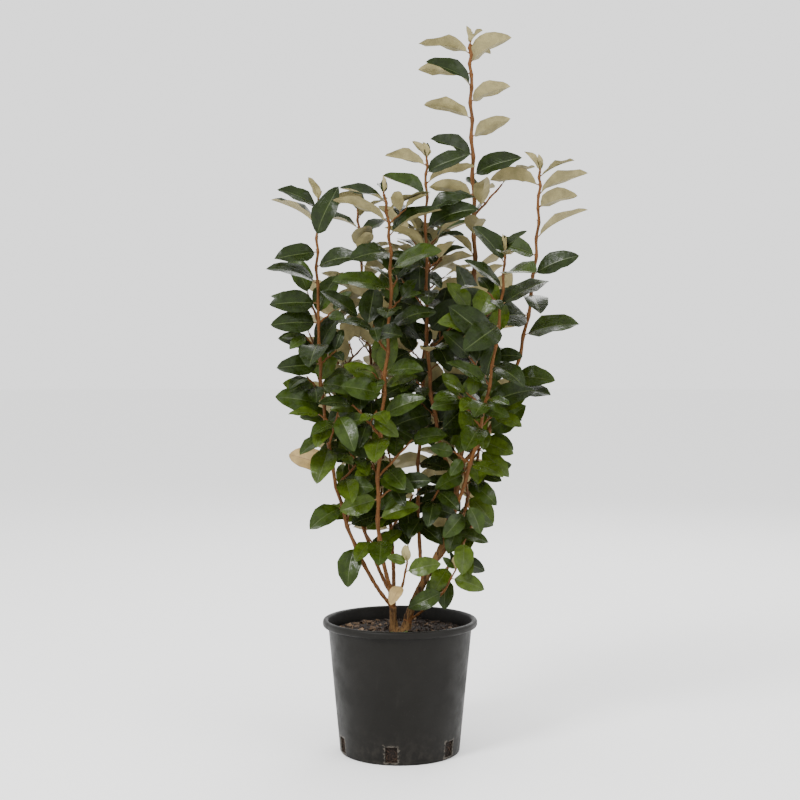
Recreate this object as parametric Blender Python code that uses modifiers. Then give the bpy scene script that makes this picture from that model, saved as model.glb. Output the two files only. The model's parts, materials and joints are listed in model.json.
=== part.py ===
"""Potted elaeagnus: an evergreen shrub of several stems in a plastic nursery pot.

Run it with blender --background --python part.py, or from Blender's text editor.
Units are metres and +Z is up. The origin is the centre of the pot's flat underside,
and the shrub's broad face looks to -Y.
"""

import math
import random
from typing import NamedTuple

import bmesh
import bpy
from mathutils import Matrix, Vector
from mathutils.bvhtree import BVHTree
from mathutils.geometry import intersect_point_line

# ---------------------------------------------------------------- driving dimensions

GAP = 0.0003                 # clearance between solids that meet
SEED = 122                   # starts the growth rule

# The pot: a thin tapered tub with a rolled lip and drainage slots round its foot
POT_HEIGHT = 0.188
POT_RIM_RADIUS = 0.110
POT_SHOULDER_RADIUS = 0.1022
POT_FOOT_RADIUS = 0.0855
POT_MOUTH_RADIUS = 0.102
POT_WALL = 0.002
POT_FLOOR = 0.003
POT_FOOT_ROUND = 0.0025
POT_FACETS = 36
LIP_HEIGHT = 0.0105
LIP_ROUND = 0.0038
DRAIN_COUNT = 6
DRAIN_FIRST = -158           # degrees anticlockwise from +X
DRAIN_WIDTH = 0.017
DRAIN_HEIGHT = 0.022
DRAIN_SILL = 0.004

COMPOST_TOP = 0.169

# The root crown: a low flared mound that both trunks rise from, half widths in X and Y
ROOT_HEIGHT = 0.006
ROOT_FOOT = (0.0185, 0.0120)
ROOT_TOP = (0.0155, 0.0085)

# Stems
STEM_TAPER = 0.58             # a stem's radius at its tip, as a share of that at its foot
LIMB_SIDES = 6
STEM_SIDES = 4
STEM_STEP = 0.030            # length of one straight piece of a limb
COPE_STEPS = 6               # places along each straight piece where a meeting is looked for
INTERNODE = 0.029            # distance between two leaves on a stem
TIP_CROWDING = 0.75          # share by which that distance shrinks at a stem's tip
NODE_BEND = 0.0012           # how far a stem zigzags away from each leaf
PHYLLOTAXIS = 144            # degrees from one leaf to the next
AZIMUTH_SPREAD = 16
SIDES = {"R": 0, "B": 90, "L": 180, "F": 270}

# Side shoots
SHOOT_LENGTH = 0.075
SHOOT_PITCH = 48
SHOOT_TURN = 35
SHOOT_FOOT_RADIUS = 0.0017
SHOOT_TIP_RADIUS = 0.0012
SHOOT_SIZES = (0.75, 1.15)   # shortest and longest, as shares of that length
SHOOT_SHORTENING = 0.35      # share by which shoots grow shorter towards a stem's tip
SHOOT_CLEAR_OF_STEM = 0.15   # share of a shoot that may touch its own stem
SHOOT_LEAVES = 4
SHOOT_LEAF_SIZES = (0.68, 0.98)
SHOOT_LEAF_SPREAD = 10
SHOOT_LAST_LEAF = 0.97       # share of a shoot at which its last leaf springs
SHOOT_SPREAD = 62            # degrees between the shoot and the leaves on its sides
SHOOT_INTERNODE = 0.24       # distance between its leaves, as a share of its length

# Leaves
LEAF_LENGTH_LOW = 0.056      # at the foot of the crown
LEAF_LENGTH_HIGH = 0.076     # and at its top
LEAF_SIZES = (0.86, 1.14)    # smallest and largest, as shares of the length
LEAF_WIDTH = 0.45            # greatest width, as a share of the length
YOUNG_SIZE = 0.50            # size of a stem's last leaf, as a share of a full one
YOUNG_GROWTH = 18            # how fast the leaves below it come to full size
LEAF_PITCH_LOW = 16          # degrees above the level, at the foot of the crown
LEAF_PITCH_HIGH = 44         # and at its top
HABIT_HEIGHTS = (0.24, 0.56)  # low leaves change to high ones between these heights
LEAF_PITCH_SPREAD = 8
LEAF_PITCH_TIP = 25          # how much steeper the last leaf of a stem is
LEAF_ARCH = 36               # degrees that a leaf bends down along its length
LEAF_ARCH_SPREAD = 12
LEAF_TILT_LOW = 50           # degrees that low leaves tip their upper sides outwards
LEAF_TILT_HIGH = -26         # and high ones, which show their undersides
LEAF_TILT_SPREAD = 22
LEAF_TILT_HEIGHTS = (0.62, 0.76)
LEAF_SPLAY = 0.15            # how far that turn follows the crown's roundness
LEAF_FOLD = 0.20             # rise of a leaf's edges, as a share of its half width
LEAF_FOLDS = (0.6, 1.3)      # flattest and deepest, as shares of that rise
LEAF_PITCH_STEPS = (0, 10, -10, 20)
LEAF_TURN_STEPS = (0, 20, -20, 40, -40)
LEAF_CLEARANCE = 0.0013      # kept free above and below every leaf
# Sections of a leaf: share of its length, share of its half width, depth of its keel
LEAF_SECTIONS = (
    (-0.012, 0.00, 0.0),
    (0.070, 0.08, 0.0014),
    (0.400, 1.00, 0.0008),
    (0.740, 0.76, 0.0006),
    (1.000, 0.00, 0.0),
)
BLADE_SECTIONS = ((0.125, 0.24, 0.0013),) + LEAF_SECTIONS[2:]

# The space that the crown fills: a box that narrows towards its foot
CROWN_LOW = Vector((-0.196, -0.215, 0.176))
CROWN_HIGH = Vector((0.282, 0.215, 1.034))
CROWN_MIDDLE = (0.040, 0.020)
CROWN_FOOT_LOW = Vector((-0.100, -0.110))
CROWN_FOOT_HIGH = Vector((0.125, 0.110))
CROWN_FOOT_LEVEL = 0.240
CROWN_FLARE = 0.36           # widening on each side for each metre of height
CROWN_BACK = 0.048            # leaves behind this face backwards
# Windows right through the crown from front to back: x, z and radius
CROWN_WINDOWS = (
    (-0.060, 0.575, 0.026),
    (-0.085, 0.725, 0.030),
    (0.150, 0.765, 0.042),
    (0.155, 0.580, 0.018),
    (0.010, 0.425, 0.016),
    (-0.118, 0.360, 0.024),
    (-0.052, 0.258, 0.016),
    (0.112, 0.278, 0.020),
)


class Stem(NamedTuple):
    """A stem, by where it leaves its parent and how it runs to its tip.

    A lean is in degrees to the right and to the back. The bow says how far the first and
    the last lean carry, as shares of the span. The sides are those of its top leaves,
    upwards: Left, Right, Front, Back, or a dot where the growth rule decides. A small
    letter is a leaf that keeps its upper side outwards, however high it grows.
    """

    name: str
    parent: str
    fork: float
    tip: tuple
    lean: tuple
    tip_lean: tuple
    bow: tuple
    radius: float
    foliage: float = 0.0
    shoots_to: float = 0.0
    sides: str = ""


TRUNKS = (
    Stem("trunk_left", "", 0, (-0.013, -0.005, 0.232), (-5, -2), (-8, -6), (0.3, 0.3), 0.0057),
    Stem("trunk_right", "", 0, (0.081, 0.014, 0.388), (13, 2), (-3, 4), (0.35, 0.40), 0.0060),
)
TRUNK_FEET = {"trunk_left": (-0.0085, 0.0), "trunk_right": (0.0075, 0.001)}
TRUNK_TOP_RADIUS = {"trunk_left": 0.0046, "trunk_right": 0.0041}

STEMS = (
    Stem("front", "trunk_left", 0.232, (-0.022, -0.085, 0.780), (-22, -12), (-12, -4),
         (0.25, 0.30), 0.0031, 0.246, 0.72, "rlrflrlrLRl."),
    Stem("leader", "trunk_right", 0.388, (0.101, 0.030, 1.010), (12, 2), (0, 1),
         (0.33, 0.33), 0.0040, 0.435, 0.86, "LrlRLRlLRLR."),
    Stem("left", "trunk_left", 0.204, (-0.114, -0.035, 0.777), (-42, -4), (2, -2),
         (0.25, 0.40), 0.0030, 0.240, 0.66, ".lflllrlrLRl."),
    Stem("right", "leader", 0.404, (0.198, -0.004, 0.823), (50, -3), (1, 0),
         (0.25, 0.45), 0.0033, 0.430, 0.50, "rrrlr.frlRl.RLR."),
    Stem("centre", "trunk_right", 0.376, (0.037, -0.040, 0.834), (-28, -8), (0, -2),
         (0.25, 0.40), 0.0031, 0.422, 0.76, "fLLrrlRrL."),
    Stem("inner", "trunk_right", 0.238, (0.045, 0.060, 0.735), (-8, 12), (3, 4),
         (0.25, 0.40), 0.0030, 0.290, 0.70),
    Stem("back", "trunk_left", 0.192, (-0.064, 0.120, 0.783), (4, 36), (-3, 3),
         (0.25, 0.40), 0.0031, 0.280, 0.70),
    Stem("back_left", "trunk_left", 0.222, (-0.100, 0.085, 0.660), (-32, 24), (-3, 3),
         (0.25, 0.40), 0.0029, 0.285, 0.58),
    Stem("back_right", "trunk_right", 0.300, (0.118, 0.120, 0.680), (10, 40), (4, 3),
         (0.25, 0.40), 0.0028, 0.345, 0.60),
    Stem("front_right", "trunk_right", 0.335, (0.142, -0.095, 0.700), (20, -42), (3, -2),
         (0.25, 0.40), 0.0028, 0.385, 0.62),
    Stem("low_right", "trunk_right", 0.262, (0.128, 0.070, 0.540), (48, 12), (4, 8),
         (0.25, 0.35), 0.0026, 0.282, 0.45),
    Stem("low_back", "trunk_right", 0.215, (0.110, 0.055, 0.330), (60, 20), (15, 10),
         (0.30, 0.30), 0.0023, 0.228, 0.32),
    Stem("low_middle", "trunk_left", 0.206, (0.010, -0.060, 0.275), (22, -48), (5, -10),
         (0.30, 0.30), 0.0022, 0.222),
    Stem("low_front", "trunk_right", 0.184, (0.078, -0.035, 0.262), (62, -14), (20, -10),
         (0.30, 0.30), 0.0020, 0.192),
)

LEAF_GREEN = (0.036, 0.085, 0.022)
BARK_BROWN = (0.23, 0.125, 0.062)
POT_CHARCOAL = (0.032, 0.031, 0.030)
COMPOST_BROWN = (0.055, 0.034, 0.022)


# ---------------------------------------------------------------- the growth rule

def leaning(lean):
    """Return the direction that leans this many degrees to the right and to the back."""
    right, back = (math.tan(math.radians(angle)) for angle in lean)
    return Vector((right, back, 1)).normalized()


def towards(azimuth, pitch):
    """Return the direction at an azimuth, anticlockwise from +X, and a pitch, in degrees."""
    azimuth = math.radians(azimuth)
    pitch = math.radians(pitch)
    level = math.cos(pitch)
    return Vector((math.cos(azimuth) * level, math.sin(azimuth) * level, math.sin(pitch)))


class Route:
    """A limb's centreline, a cubic Bezier curve, with its even taper."""

    def __init__(self, start, stem, tip_radius):
        tip = Vector(stem.tip)
        span = (tip - start).length
        after_start = start + leaning(stem.lean) * span * stem.bow[0]
        before_tip = tip - leaning(stem.tip_lean) * span * stem.bow[1]
        self.handles = (start, after_start, before_tip, tip)
        self.radii = (stem.radius, tip_radius)

    def at(self, share):
        """Return the point this share of the way along."""
        rest = 1 - share
        weights = (rest ** 3, 3 * rest ** 2 * share, 3 * rest * share ** 2, share ** 3)
        return sum((point * weight for point, weight in zip(self.handles, weights)), Vector())

    def radius(self, share):
        """Return the limb's radius this share of the way along."""
        foot, tip = self.radii
        return foot + (tip - foot) * share

    def share_at(self, height):
        """Return the share of the way along at which the limb reaches a height."""
        low, high = 0.0, 1.0
        while high - low > 1e-9:
            middle = (low + high) / 2
            if self.at(middle).z < height:
                low = middle
            else:
                high = middle
        return low

    def walk(self, first, last, spacing):
        """Return shares from first to last, spaced by a distance that may depend on progress."""
        fine = 400  # straight steps that stand for the curve
        shares = [first]
        walked = 0.0
        here = self.at(first)
        for index in range(1, fine + 1):
            progress = index / fine
            share = first + (last - first) * progress
            there = self.at(share)
            walked += (there - here).length
            here = there
            if walked >= spacing(progress):
                shares.append(share)
                walked = 0.0
        if walked < spacing(1.0) / 2 and len(shares) > 2:
            shares.pop()
        return shares + [last]


def routes():
    """Return the centreline of each trunk and stem by name."""
    found = {}
    crown_top = COMPOST_TOP + GAP + ROOT_HEIGHT
    for trunk in TRUNKS:
        start = Vector((*TRUNK_FEET[trunk.name], crown_top - ROOT_HEIGHT / 2))
        found[trunk.name] = Route(start, trunk, TRUNK_TOP_RADIUS[trunk.name])
    for stem in STEMS:
        parent = found[stem.parent]
        start = parent.at(parent.share_at(stem.fork))
        found[stem.name] = Route(start, stem, stem.radius * STEM_TAPER)
    return found


class Leaf(NamedTuple):
    """A leaf: where it springs from, its heading and upper side there, and its form."""

    base: Vector
    heading: Vector
    upper: Vector
    length: float
    arch: float
    fold: float

    def frame(self, share):
        """Return the midrib's place and upper side this share of the way along the leaf."""
        turn = self.arch * share
        ahead = self.heading * (math.sin(turn) / self.arch)
        down = self.upper * ((1 - math.cos(turn)) / self.arch)
        place = self.base + (ahead - down) * self.length
        upper = self.upper * math.cos(turn) + self.heading * math.sin(turn)
        return place, upper

    def section(self, section, margin=0.0):
        """Return a section's right edge, left edge and keel, and the middle of its top."""
        share, width, keel = section
        place, upper = self.frame(share)
        side = self.heading.cross(self.upper)
        half_width = width * LEAF_WIDTH * self.length / 2
        edges = place + upper * half_width * self.fold
        across = side * (half_width + margin)
        return (edges + across, edges - across, place - upper * (keel + margin),
                edges + upper * margin)


class Node(NamedTuple):
    """A place on a stem that a leaf springs from."""

    point: Vector
    radius: float
    azimuth: float
    progress: float
    shows_upper: bool


class Shoot(NamedTuple):
    """A straight side shoot, from the stem's centreline to its tip."""

    base: Vector
    tip: Vector


class Crowd:
    """All that stands in the crown so far, so that nothing new touches it."""

    def __init__(self):
        self.members = []

    @staticmethod
    def wrap(points, faces):
        """Return the middle, reach and search tree of a closed shape."""
        middle = sum(points, Vector()) / len(points)
        reach = max((point - middle).length for point in points)
        return middle, reach, BVHTree.FromPolygons(points, faces)

    def add(self, shape):
        """Take in a shape."""
        self.members.append(shape)

    def is_free(self, shape):
        """Tell whether a shape touches nothing that is already there."""
        middle, reach, tree = shape
        for other_middle, other_reach, other_tree in self.members:
            if (middle - other_middle).length > reach + other_reach:
                continue
            if tree.overlap(other_tree):
                return False
        return True


def tube_shape(points, radii, sides=6):
    """Return the wrapped shape of a tube through some points."""
    corners = []
    faces = []
    for index, (point, radius) in enumerate(zip(points, radii)):
        ahead = points[min(index + 1, len(points) - 1)] - points[max(index - 1, 0)]
        first = ahead.orthogonal().normalized()
        second = ahead.normalized().cross(first)
        for side in range(sides):
            angle = 2 * math.pi * side / sides
            corners.append(point + (first * math.cos(angle) + second * math.sin(angle)) * radius)
        if index:
            start = (index - 1) * sides
            for side in range(sides):
                after = (side + 1) % sides
                faces.append((start + side, start + after, start + sides + after,
                              start + sides + side))
    return Crowd.wrap(corners, faces)


def leaf_shape(leaf):
    """Return the wrapped shape of a leaf's blade, thickened by the clearance."""
    corners = []
    faces = []
    for index, section in enumerate(BLADE_SECTIONS):
        right, left, keel, top = leaf.section(section, LEAF_CLEARANCE)
        corners += [right, top, left, keel]
        if index:
            start = (index - 1) * 4
            for side in range(4):
                after = (side + 1) % 4
                faces.append((start + side, start + after, start + 4 + after, start + 4 + side))
    return Crowd.wrap(corners, faces)


def in_crown(leaf):
    """Tell whether a leaf keeps to the crown's space and out of its windows."""
    for share in (0.4, 0.7, 1.0):
        place = leaf.frame(share)[0]
        if any(not low <= value <= high for low, value, high in zip(CROWN_LOW, place, CROWN_HIGH)):
            return False
        flare = max(place.z - CROWN_FOOT_LEVEL, 0) * CROWN_FLARE
        if any(not low - flare <= value <= high + flare
               for low, value, high in zip(CROWN_FOOT_LOW, place.xy, CROWN_FOOT_HIGH)):
            return False
        for x, z, radius in CROWN_WINDOWS:
            if math.hypot(place.x - x, place.z - z) < radius:
                return False
    return True


def leaf_tilt(base, spread, shows_upper):
    """Return the turn that tips a leaf: low ones outwards, high ones back, more or less."""
    outwards = Vector((base.x - CROWN_MIDDLE[0], base.y - CROWN_MIDDLE[1], 0)).normalized()
    broad = Vector((0, 1 if base.y > CROWN_BACK else -1, 0))
    facing = (outwards * LEAF_SPLAY + broad).normalized()
    share = 0.0 if shows_upper else between(LEAF_TILT_HEIGHTS, base.z)
    tilt = LEAF_TILT_LOW + (LEAF_TILT_HIGH - LEAF_TILT_LOW) * share + spread * LEAF_TILT_SPREAD
    return Matrix.Rotation(math.radians(tilt), 3, Vector((0, 0, 1)).cross(facing))


def place_leaf(crowd, rng, base, azimuth, pitch, length, shows_upper=False):
    """Return a leaf that finds room near this azimuth and pitch, or None."""
    arch = math.radians(LEAF_ARCH + rng.uniform(-LEAF_ARCH_SPREAD, LEAF_ARCH_SPREAD))
    fold = LEAF_FOLD * rng.uniform(*LEAF_FOLDS)
    tilt = leaf_tilt(base, rng.uniform(-1, 1), shows_upper)
    for pitch_step in LEAF_PITCH_STEPS:
        for turn in LEAF_TURN_STEPS:
            heading = tilt @ towards(azimuth + turn, pitch + pitch_step)
            upper = tilt @ towards(azimuth + turn, pitch + pitch_step + 90)
            leaf = Leaf(base, heading, upper, length, arch, fold)
            shape = leaf_shape(leaf)
            if in_crown(leaf) and crowd.is_free(shape):
                crowd.add(shape)
                return leaf
    return None


def between(heights, height):
    """Return how far a height lies between two others, from 0 to 1."""
    low, high = heights
    return min(max((height - low) / (high - low), 0.0), 1.0)


def leaf_pitch(height):
    """Return a leaf's pitch at a height: low leaves lie level, high ones reach up."""
    return LEAF_PITCH_LOW + (LEAF_PITCH_HIGH - LEAF_PITCH_LOW) * between(HABIT_HEIGHTS, height)


def leaf_length(height):
    """Return a full leaf's length at a height: low leaves are smaller."""
    share = between(HABIT_HEIGHTS, height)
    return LEAF_LENGTH_LOW + (LEAF_LENGTH_HIGH - LEAF_LENGTH_LOW) * share


def grow_shoot(crowd, rng, base, azimuth, progress):
    """Return a side shoot and its leaves, or None and no leaves where there is no room."""
    length = SHOOT_LENGTH * rng.uniform(*SHOOT_SIZES) * (1 - SHOOT_SHORTENING * progress)
    for turn in (SHOOT_TURN, -SHOOT_TURN, 0, 2 * SHOOT_TURN, -2 * SHOOT_TURN):
        ahead = towards(azimuth + turn, SHOOT_PITCH)
        tip = base + ahead * length
        points = [base + ahead * length * SHOOT_CLEAR_OF_STEM, tip]
        shape = tube_shape(points, [SHOOT_FOOT_RADIUS + LEAF_CLEARANCE] * 2, STEM_SIDES)
        if crowd.is_free(shape):
            crowd.add(shape)
            break
    else:
        return None, []
    leaves = []
    for index in range(SHOOT_LEAVES):
        spread = SHOOT_SPREAD * (-1) ** index if index else 0
        size = leaf_length(base.z) * rng.uniform(*SHOOT_LEAF_SIZES)
        pitch = leaf_pitch(base.z) + rng.uniform(-SHOOT_LEAF_SPREAD, SHOOT_LEAF_SPREAD)
        spring = base + ahead * length * (SHOOT_LAST_LEAF - SHOOT_INTERNODE * index)
        leaf = place_leaf(crowd, rng, spring, azimuth + turn + spread, pitch, size)
        if leaf:
            leaves.append(leaf)
        elif index == 0:
            crowd.members.pop()
            return None, []
    return Shoot(base, tip), leaves


def stem_nodes(stem, route, rng):
    """Return the nodes of a stem's leafy part."""
    first = route.share_at(stem.foliage)
    shares = route.walk(first, 1.0,
                        lambda progress: INTERNODE * (1 - TIP_CROWDING * progress ** 8))
    sides = stem.sides.rjust(len(shares), ".")[-len(shares):]
    turn = rng.uniform(0, 360)
    nodes = []
    for share, side in zip(shares, sides):
        turn += PHYLLOTAXIS
        azimuth = SIDES.get(side.upper(), turn) + rng.uniform(-AZIMUTH_SPREAD, AZIMUTH_SPREAD)
        bend = towards(azimuth, 0) * -NODE_BEND
        point = route.at(share)
        if 0 < len(nodes) < len(shares) - 1:
            point = point + bend
        progress = (share - first) / (1 - first)
        nodes.append(Node(point, route.radius(share), azimuth, progress, side.islower()))
    return nodes


def pot_shape():
    """Return the wrapped shape of the pot's outside, an open cone frustum."""
    corners = []
    faces = []
    for index in range(POT_FACETS):
        angle = 2 * math.pi * index / POT_FACETS
        flat = Vector((math.cos(angle), math.sin(angle), 0))
        corners += [flat * POT_FOOT_RADIUS, flat * POT_RIM_RADIUS + Vector((0, 0, POT_HEIGHT))]
        after = (index + 1) % POT_FACETS
        faces.append((2 * index, 2 * after, 2 * after + 1, 2 * index + 1))
    return Crowd.wrap(corners, faces)


def grow():
    """Grow the whole shrub: for each stem its nodes, side shoots and leaves."""
    rng = random.Random(SEED)
    lines = routes()
    crowd = Crowd()
    for line in lines.values():
        shares = line.walk(0.0, 1.0, lambda progress: STEM_STEP)
        points = [line.at(share) for share in shares]
        crowd.add(tube_shape(points, [line.radius(share) + LEAF_CLEARANCE for share in shares]))
    crowd.add(pot_shape())
    nodes = {stem.name: stem_nodes(stem, lines[stem.name], rng) for stem in STEMS}
    shoots = {stem.name: [] for stem in STEMS}
    leaves = {stem.name: [] for stem in STEMS}
    # Leaves on the stems come first, so that they keep their sides, and shoots fill the rest
    for stem in STEMS:
        for node in nodes[stem.name][1:]:
            young = min(1.0, YOUNG_SIZE + YOUNG_GROWTH * (1 - node.progress))
            length = leaf_length(node.point.z) * rng.uniform(*LEAF_SIZES) * young
            pitch = leaf_pitch(node.point.z) + rng.uniform(-LEAF_PITCH_SPREAD, LEAF_PITCH_SPREAD)
            if node.progress == 1:
                pitch += LEAF_PITCH_TIP
            leaf = place_leaf(crowd, rng, node.point, node.azimuth, pitch, length,
                              node.shows_upper)
            if leaf:
                leaves[stem.name].append(leaf)
    for stem in STEMS:
        for node in nodes[stem.name][1::2]:
            if node.point.z > stem.shoots_to:
                continue
            shoot, more = grow_shoot(crowd, rng, node.point, node.azimuth, node.progress)
            if more:
                shoots[stem.name].append(shoot)
                leaves[stem.name] += more
    return lines, nodes, shoots, leaves


# ---------------------------------------------------------------- modelling helpers

def clear_scene():
    """Remove every object, so that the script starts from nothing."""
    for item in list(bpy.data.objects):
        bpy.data.objects.remove(item, do_unlink=True)


def new_collection(name):
    """Return a new collection in the scene."""
    collection = bpy.data.collections.new(name)
    bpy.context.scene.collection.children.link(collection)
    return collection


def material(name, colour, roughness):
    """Return a plain Principled material."""
    made = bpy.data.materials.new(name)
    made.use_nodes = True
    shader = made.node_tree.nodes["Principled BSDF"]
    shader.inputs["Base Color"].default_value = (*colour, 1)
    shader.inputs["Roughness"].default_value = roughness
    shader.inputs["Metallic"].default_value = 0.0
    made.diffuse_color = (*colour, 1)
    return made


def add_object(name, mesh, collection, look=None):
    """Put a mesh in a collection as an object, with its one material."""
    item = bpy.data.objects.new(name, mesh)
    collection.objects.link(item)
    if look:
        mesh.materials.clear()
        mesh.materials.append(look)
    return item


def evaluated_mesh(item):
    """Return a new mesh of an object as its modifiers leave it."""
    graph = bpy.context.evaluated_depsgraph_get()
    graph.update()
    return bpy.data.meshes.new_from_object(item.evaluated_get(graph))


def settle(item):
    """Replace an object's mesh and modifiers by what they evaluate to."""
    mesh = evaluated_mesh(item)
    item.modifiers.clear()
    item.data = mesh


def turned(name, profile, collection, look):
    """Turn a profile of radii and heights round the Z axis into an object."""
    mesh = bpy.data.meshes.new(name)
    shape = bmesh.new()
    corners = [shape.verts.new((radius, 0, height)) for radius, height in profile]
    for start, end in zip(corners, corners[1:]):
        shape.edges.new((start, end))
    shape.to_mesh(mesh)
    shape.free()
    item = add_object(name, mesh, collection, look)
    screw = item.modifiers.new("Turn", "SCREW")
    screw.steps = POT_FACETS
    screw.render_steps = POT_FACETS
    screw.use_merge_vertices = True
    screw.merge_threshold = 0.00005
    return item


def arc(centre, radius, start, end, pieces):
    """Return points along an arc in a profile, from one angle in degrees to another."""
    angles = (math.radians(start + (end - start) * index / pieces) for index in range(pieces + 1))
    return [(centre[0] + radius * math.cos(angle), centre[1] + radius * math.sin(angle))
            for angle in angles]


def tube(name, points, radii, sides, collection):
    """Make a tapering limb of flat-sided straight pieces, closed at both ends."""
    curve = bpy.data.curves.new(name, "CURVE")
    curve.dimensions = "3D"
    curve.bevel_depth = 1.0
    curve.bevel_resolution = sides // 2 - 2
    curve.use_fill_caps = True
    spline = curve.splines.new("POLY")
    spline.points.add(len(points) - 1)
    for knot, point, radius in zip(spline.points, points, radii):
        knot.co = (*point, 1)
        knot.radius = radius
    wire = bpy.data.objects.new(name, curve)
    collection.objects.link(wire)
    mesh = evaluated_mesh(wire)
    bpy.data.objects.remove(wire)
    bpy.data.curves.remove(curve)
    shape = bmesh.new()
    shape.from_mesh(mesh)
    bmesh.ops.remove_doubles(shape, verts=shape.verts, dist=0.00001)
    shape.to_mesh(mesh)
    shape.free()
    mesh.name = name
    return add_object(name, mesh, collection)


def combine(item, operation, operand):
    """Cut an object by another, or join it with a collection, and settle the result."""
    joint = item.modifiers.new("Combine", "BOOLEAN")
    joint.operation = operation
    joint.solver = "EXACT"
    if isinstance(operand, bpy.types.Collection):
        joint.operand_type = "COLLECTION"
        joint.collection = operand
    else:
        joint.object = operand
    settle(item)


def keep_largest(mesh):
    """Drop every loose scrap of a mesh but its largest piece."""
    shape = bmesh.new()
    shape.from_mesh(mesh)
    waiting = set(shape.verts)
    pieces = []
    while waiting:
        piece = set()
        edge = [waiting.pop()]
        while edge:
            corner = edge.pop()
            piece.add(corner)
            for link in corner.link_edges:
                other = link.other_vert(corner)
                if other in waiting:
                    waiting.remove(other)
                    edge.append(other)
        pieces.append(piece)
    pieces.sort(key=len)
    scraps = [corner for piece in pieces[:-1] for corner in piece]
    bmesh.ops.delete(shape, geom=scraps, context="VERTS")
    shape.to_mesh(mesh)
    shape.free()


# ---------------------------------------------------------------- pot and compost

def inner_radius(height):
    """Return the radius of the pot's inside at a height."""
    share = height / (POT_HEIGHT - LIP_HEIGHT)
    outer = POT_FOOT_RADIUS + (POT_SHOULDER_RADIUS - POT_FOOT_RADIUS) * share
    return outer - POT_WALL


def make_pot(collection, cutters):
    """Make the pot: a turned shell with a rolled lip, cut by its drainage slots."""
    under_lip = POT_HEIGHT - LIP_HEIGHT
    round_foot = arc((POT_FOOT_RADIUS - POT_FOOT_ROUND, POT_FOOT_ROUND), POT_FOOT_ROUND, 0, -90, 3)
    lip_middle = POT_RIM_RADIUS - LIP_ROUND
    profile = [(0, POT_FLOOR), (inner_radius(POT_FLOOR), POT_FLOOR)]
    profile += [(inner_radius(under_lip), under_lip)]
    profile += arc((POT_MOUTH_RADIUS + LIP_ROUND, POT_HEIGHT - LIP_ROUND), LIP_ROUND, 180, 90, 2)
    profile += arc((lip_middle, POT_HEIGHT - LIP_ROUND), LIP_ROUND, 90, 0, 3)[1:]
    profile += arc((lip_middle, under_lip + LIP_ROUND), LIP_ROUND, 0, -90, 2)
    profile += [(POT_SHOULDER_RADIUS, under_lip)]
    profile += round_foot + [(0, 0)]
    look = material("Pot plastic", POT_CHARCOAL, 0.55)
    pot = turned("pot", profile, collection, look)
    settle(pot)
    for index in range(DRAIN_COUNT):
        angle = math.radians(DRAIN_FIRST + 360 * index / DRAIN_COUNT)
        middle = Vector((math.cos(angle), math.sin(angle), 0)) * POT_FOOT_RADIUS
        middle.z = DRAIN_SILL + DRAIN_HEIGHT / 2
        mesh = bpy.data.meshes.new("drain")
        shape = bmesh.new()
        bmesh.ops.create_cube(shape, size=1)
        bmesh.ops.scale(shape, vec=(8 * POT_WALL, DRAIN_WIDTH, DRAIN_HEIGHT), verts=shape.verts)
        shape.to_mesh(mesh)
        shape.free()
        slot = add_object("drain", mesh, cutters)
        slot.location = middle
        slot.rotation_euler.z = angle
        combine(pot, "DIFFERENCE", slot)
        bpy.data.objects.remove(slot)
    pot.data.shade_smooth()
    pot.data.set_sharp_from_angle(angle=math.radians(35))
    return pot


def make_compost(collection):
    """Make the compost: a turned filling that keeps the gap to the pot all round."""
    foot = POT_FLOOR + GAP
    edge = 0.002
    profile = [
        (0, COMPOST_TOP),
        (inner_radius(COMPOST_TOP) - GAP - edge, COMPOST_TOP),
        (inner_radius(COMPOST_TOP - edge) - GAP, COMPOST_TOP - edge),
        (inner_radius(foot) - GAP, foot),
        (0, foot),
    ]
    look = material("Bark compost", COMPOST_BROWN, 0.95)
    compost = turned("compost", profile, collection, look)
    settle(compost)
    return compost


# ---------------------------------------------------------------- trunk and boughs

def make_root_crown(collection, look):
    """Make the flared mound at the compost that the trunks rise from."""
    mesh = bpy.data.meshes.new("root_crown")
    shape = bmesh.new()
    bmesh.ops.create_cone(shape, cap_ends=True, segments=20, radius1=1.0, radius2=1.0,
                          depth=ROOT_HEIGHT)
    for corner in shape.verts:
        width, depth = ROOT_TOP if corner.co.z > 0 else ROOT_FOOT
        corner.co.x *= width
        corner.co.y *= depth
        corner.co.z += COMPOST_TOP + GAP + ROOT_HEIGHT / 2
    shape.to_mesh(mesh)
    shape.free()
    return add_object("root_crown", mesh, collection, look)


def limb_points(route, first, last):
    """Return the points and radii of a stretch of a limb."""
    shares = route.walk(first, last, lambda progress: STEM_STEP)
    return [route.at(share) for share in shares], [route.radius(share) for share in shares]


def meet(points, radii, other_points, other_radii):
    """Tell whether two limbs come within reach of each other."""
    reach = max(radii) + max(other_radii) + 2 * GAP
    for start, end in zip(points, points[1:]):
        for step in range(COPE_STEPS + 1):
            place = start.lerp(end, step / COPE_STEPS)
            for other_start, other_end in zip(other_points, other_points[1:]):
                nearest, share = intersect_point_line(place, other_start, other_end)
                nearest = other_start.lerp(other_end, min(max(share, 0), 1))
                if (place - nearest).length < reach:
                    return True
    return False


def cope(item, points, radii, others, cutters):
    """Cut a limb back to the gap from every earlier limb that it meets."""
    for other_points, other_radii in others:
        if not meet(points, radii, other_points, other_radii):
            continue
        foot = (other_points[0] - other_points[1]).normalized() * GAP
        tip = (other_points[-1] - other_points[-2]).normalized() * GAP
        beyond = [other_points[0] + foot, *other_points[1:-1], other_points[-1] + tip]
        wide = [radius + GAP for radius in other_radii]
        cutter = tube("cutter", beyond, wide, LIMB_SIDES, cutters)
        combine(item, "DIFFERENCE", cutter)
        bpy.data.objects.remove(cutter)
    keep_largest(item.data)


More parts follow.
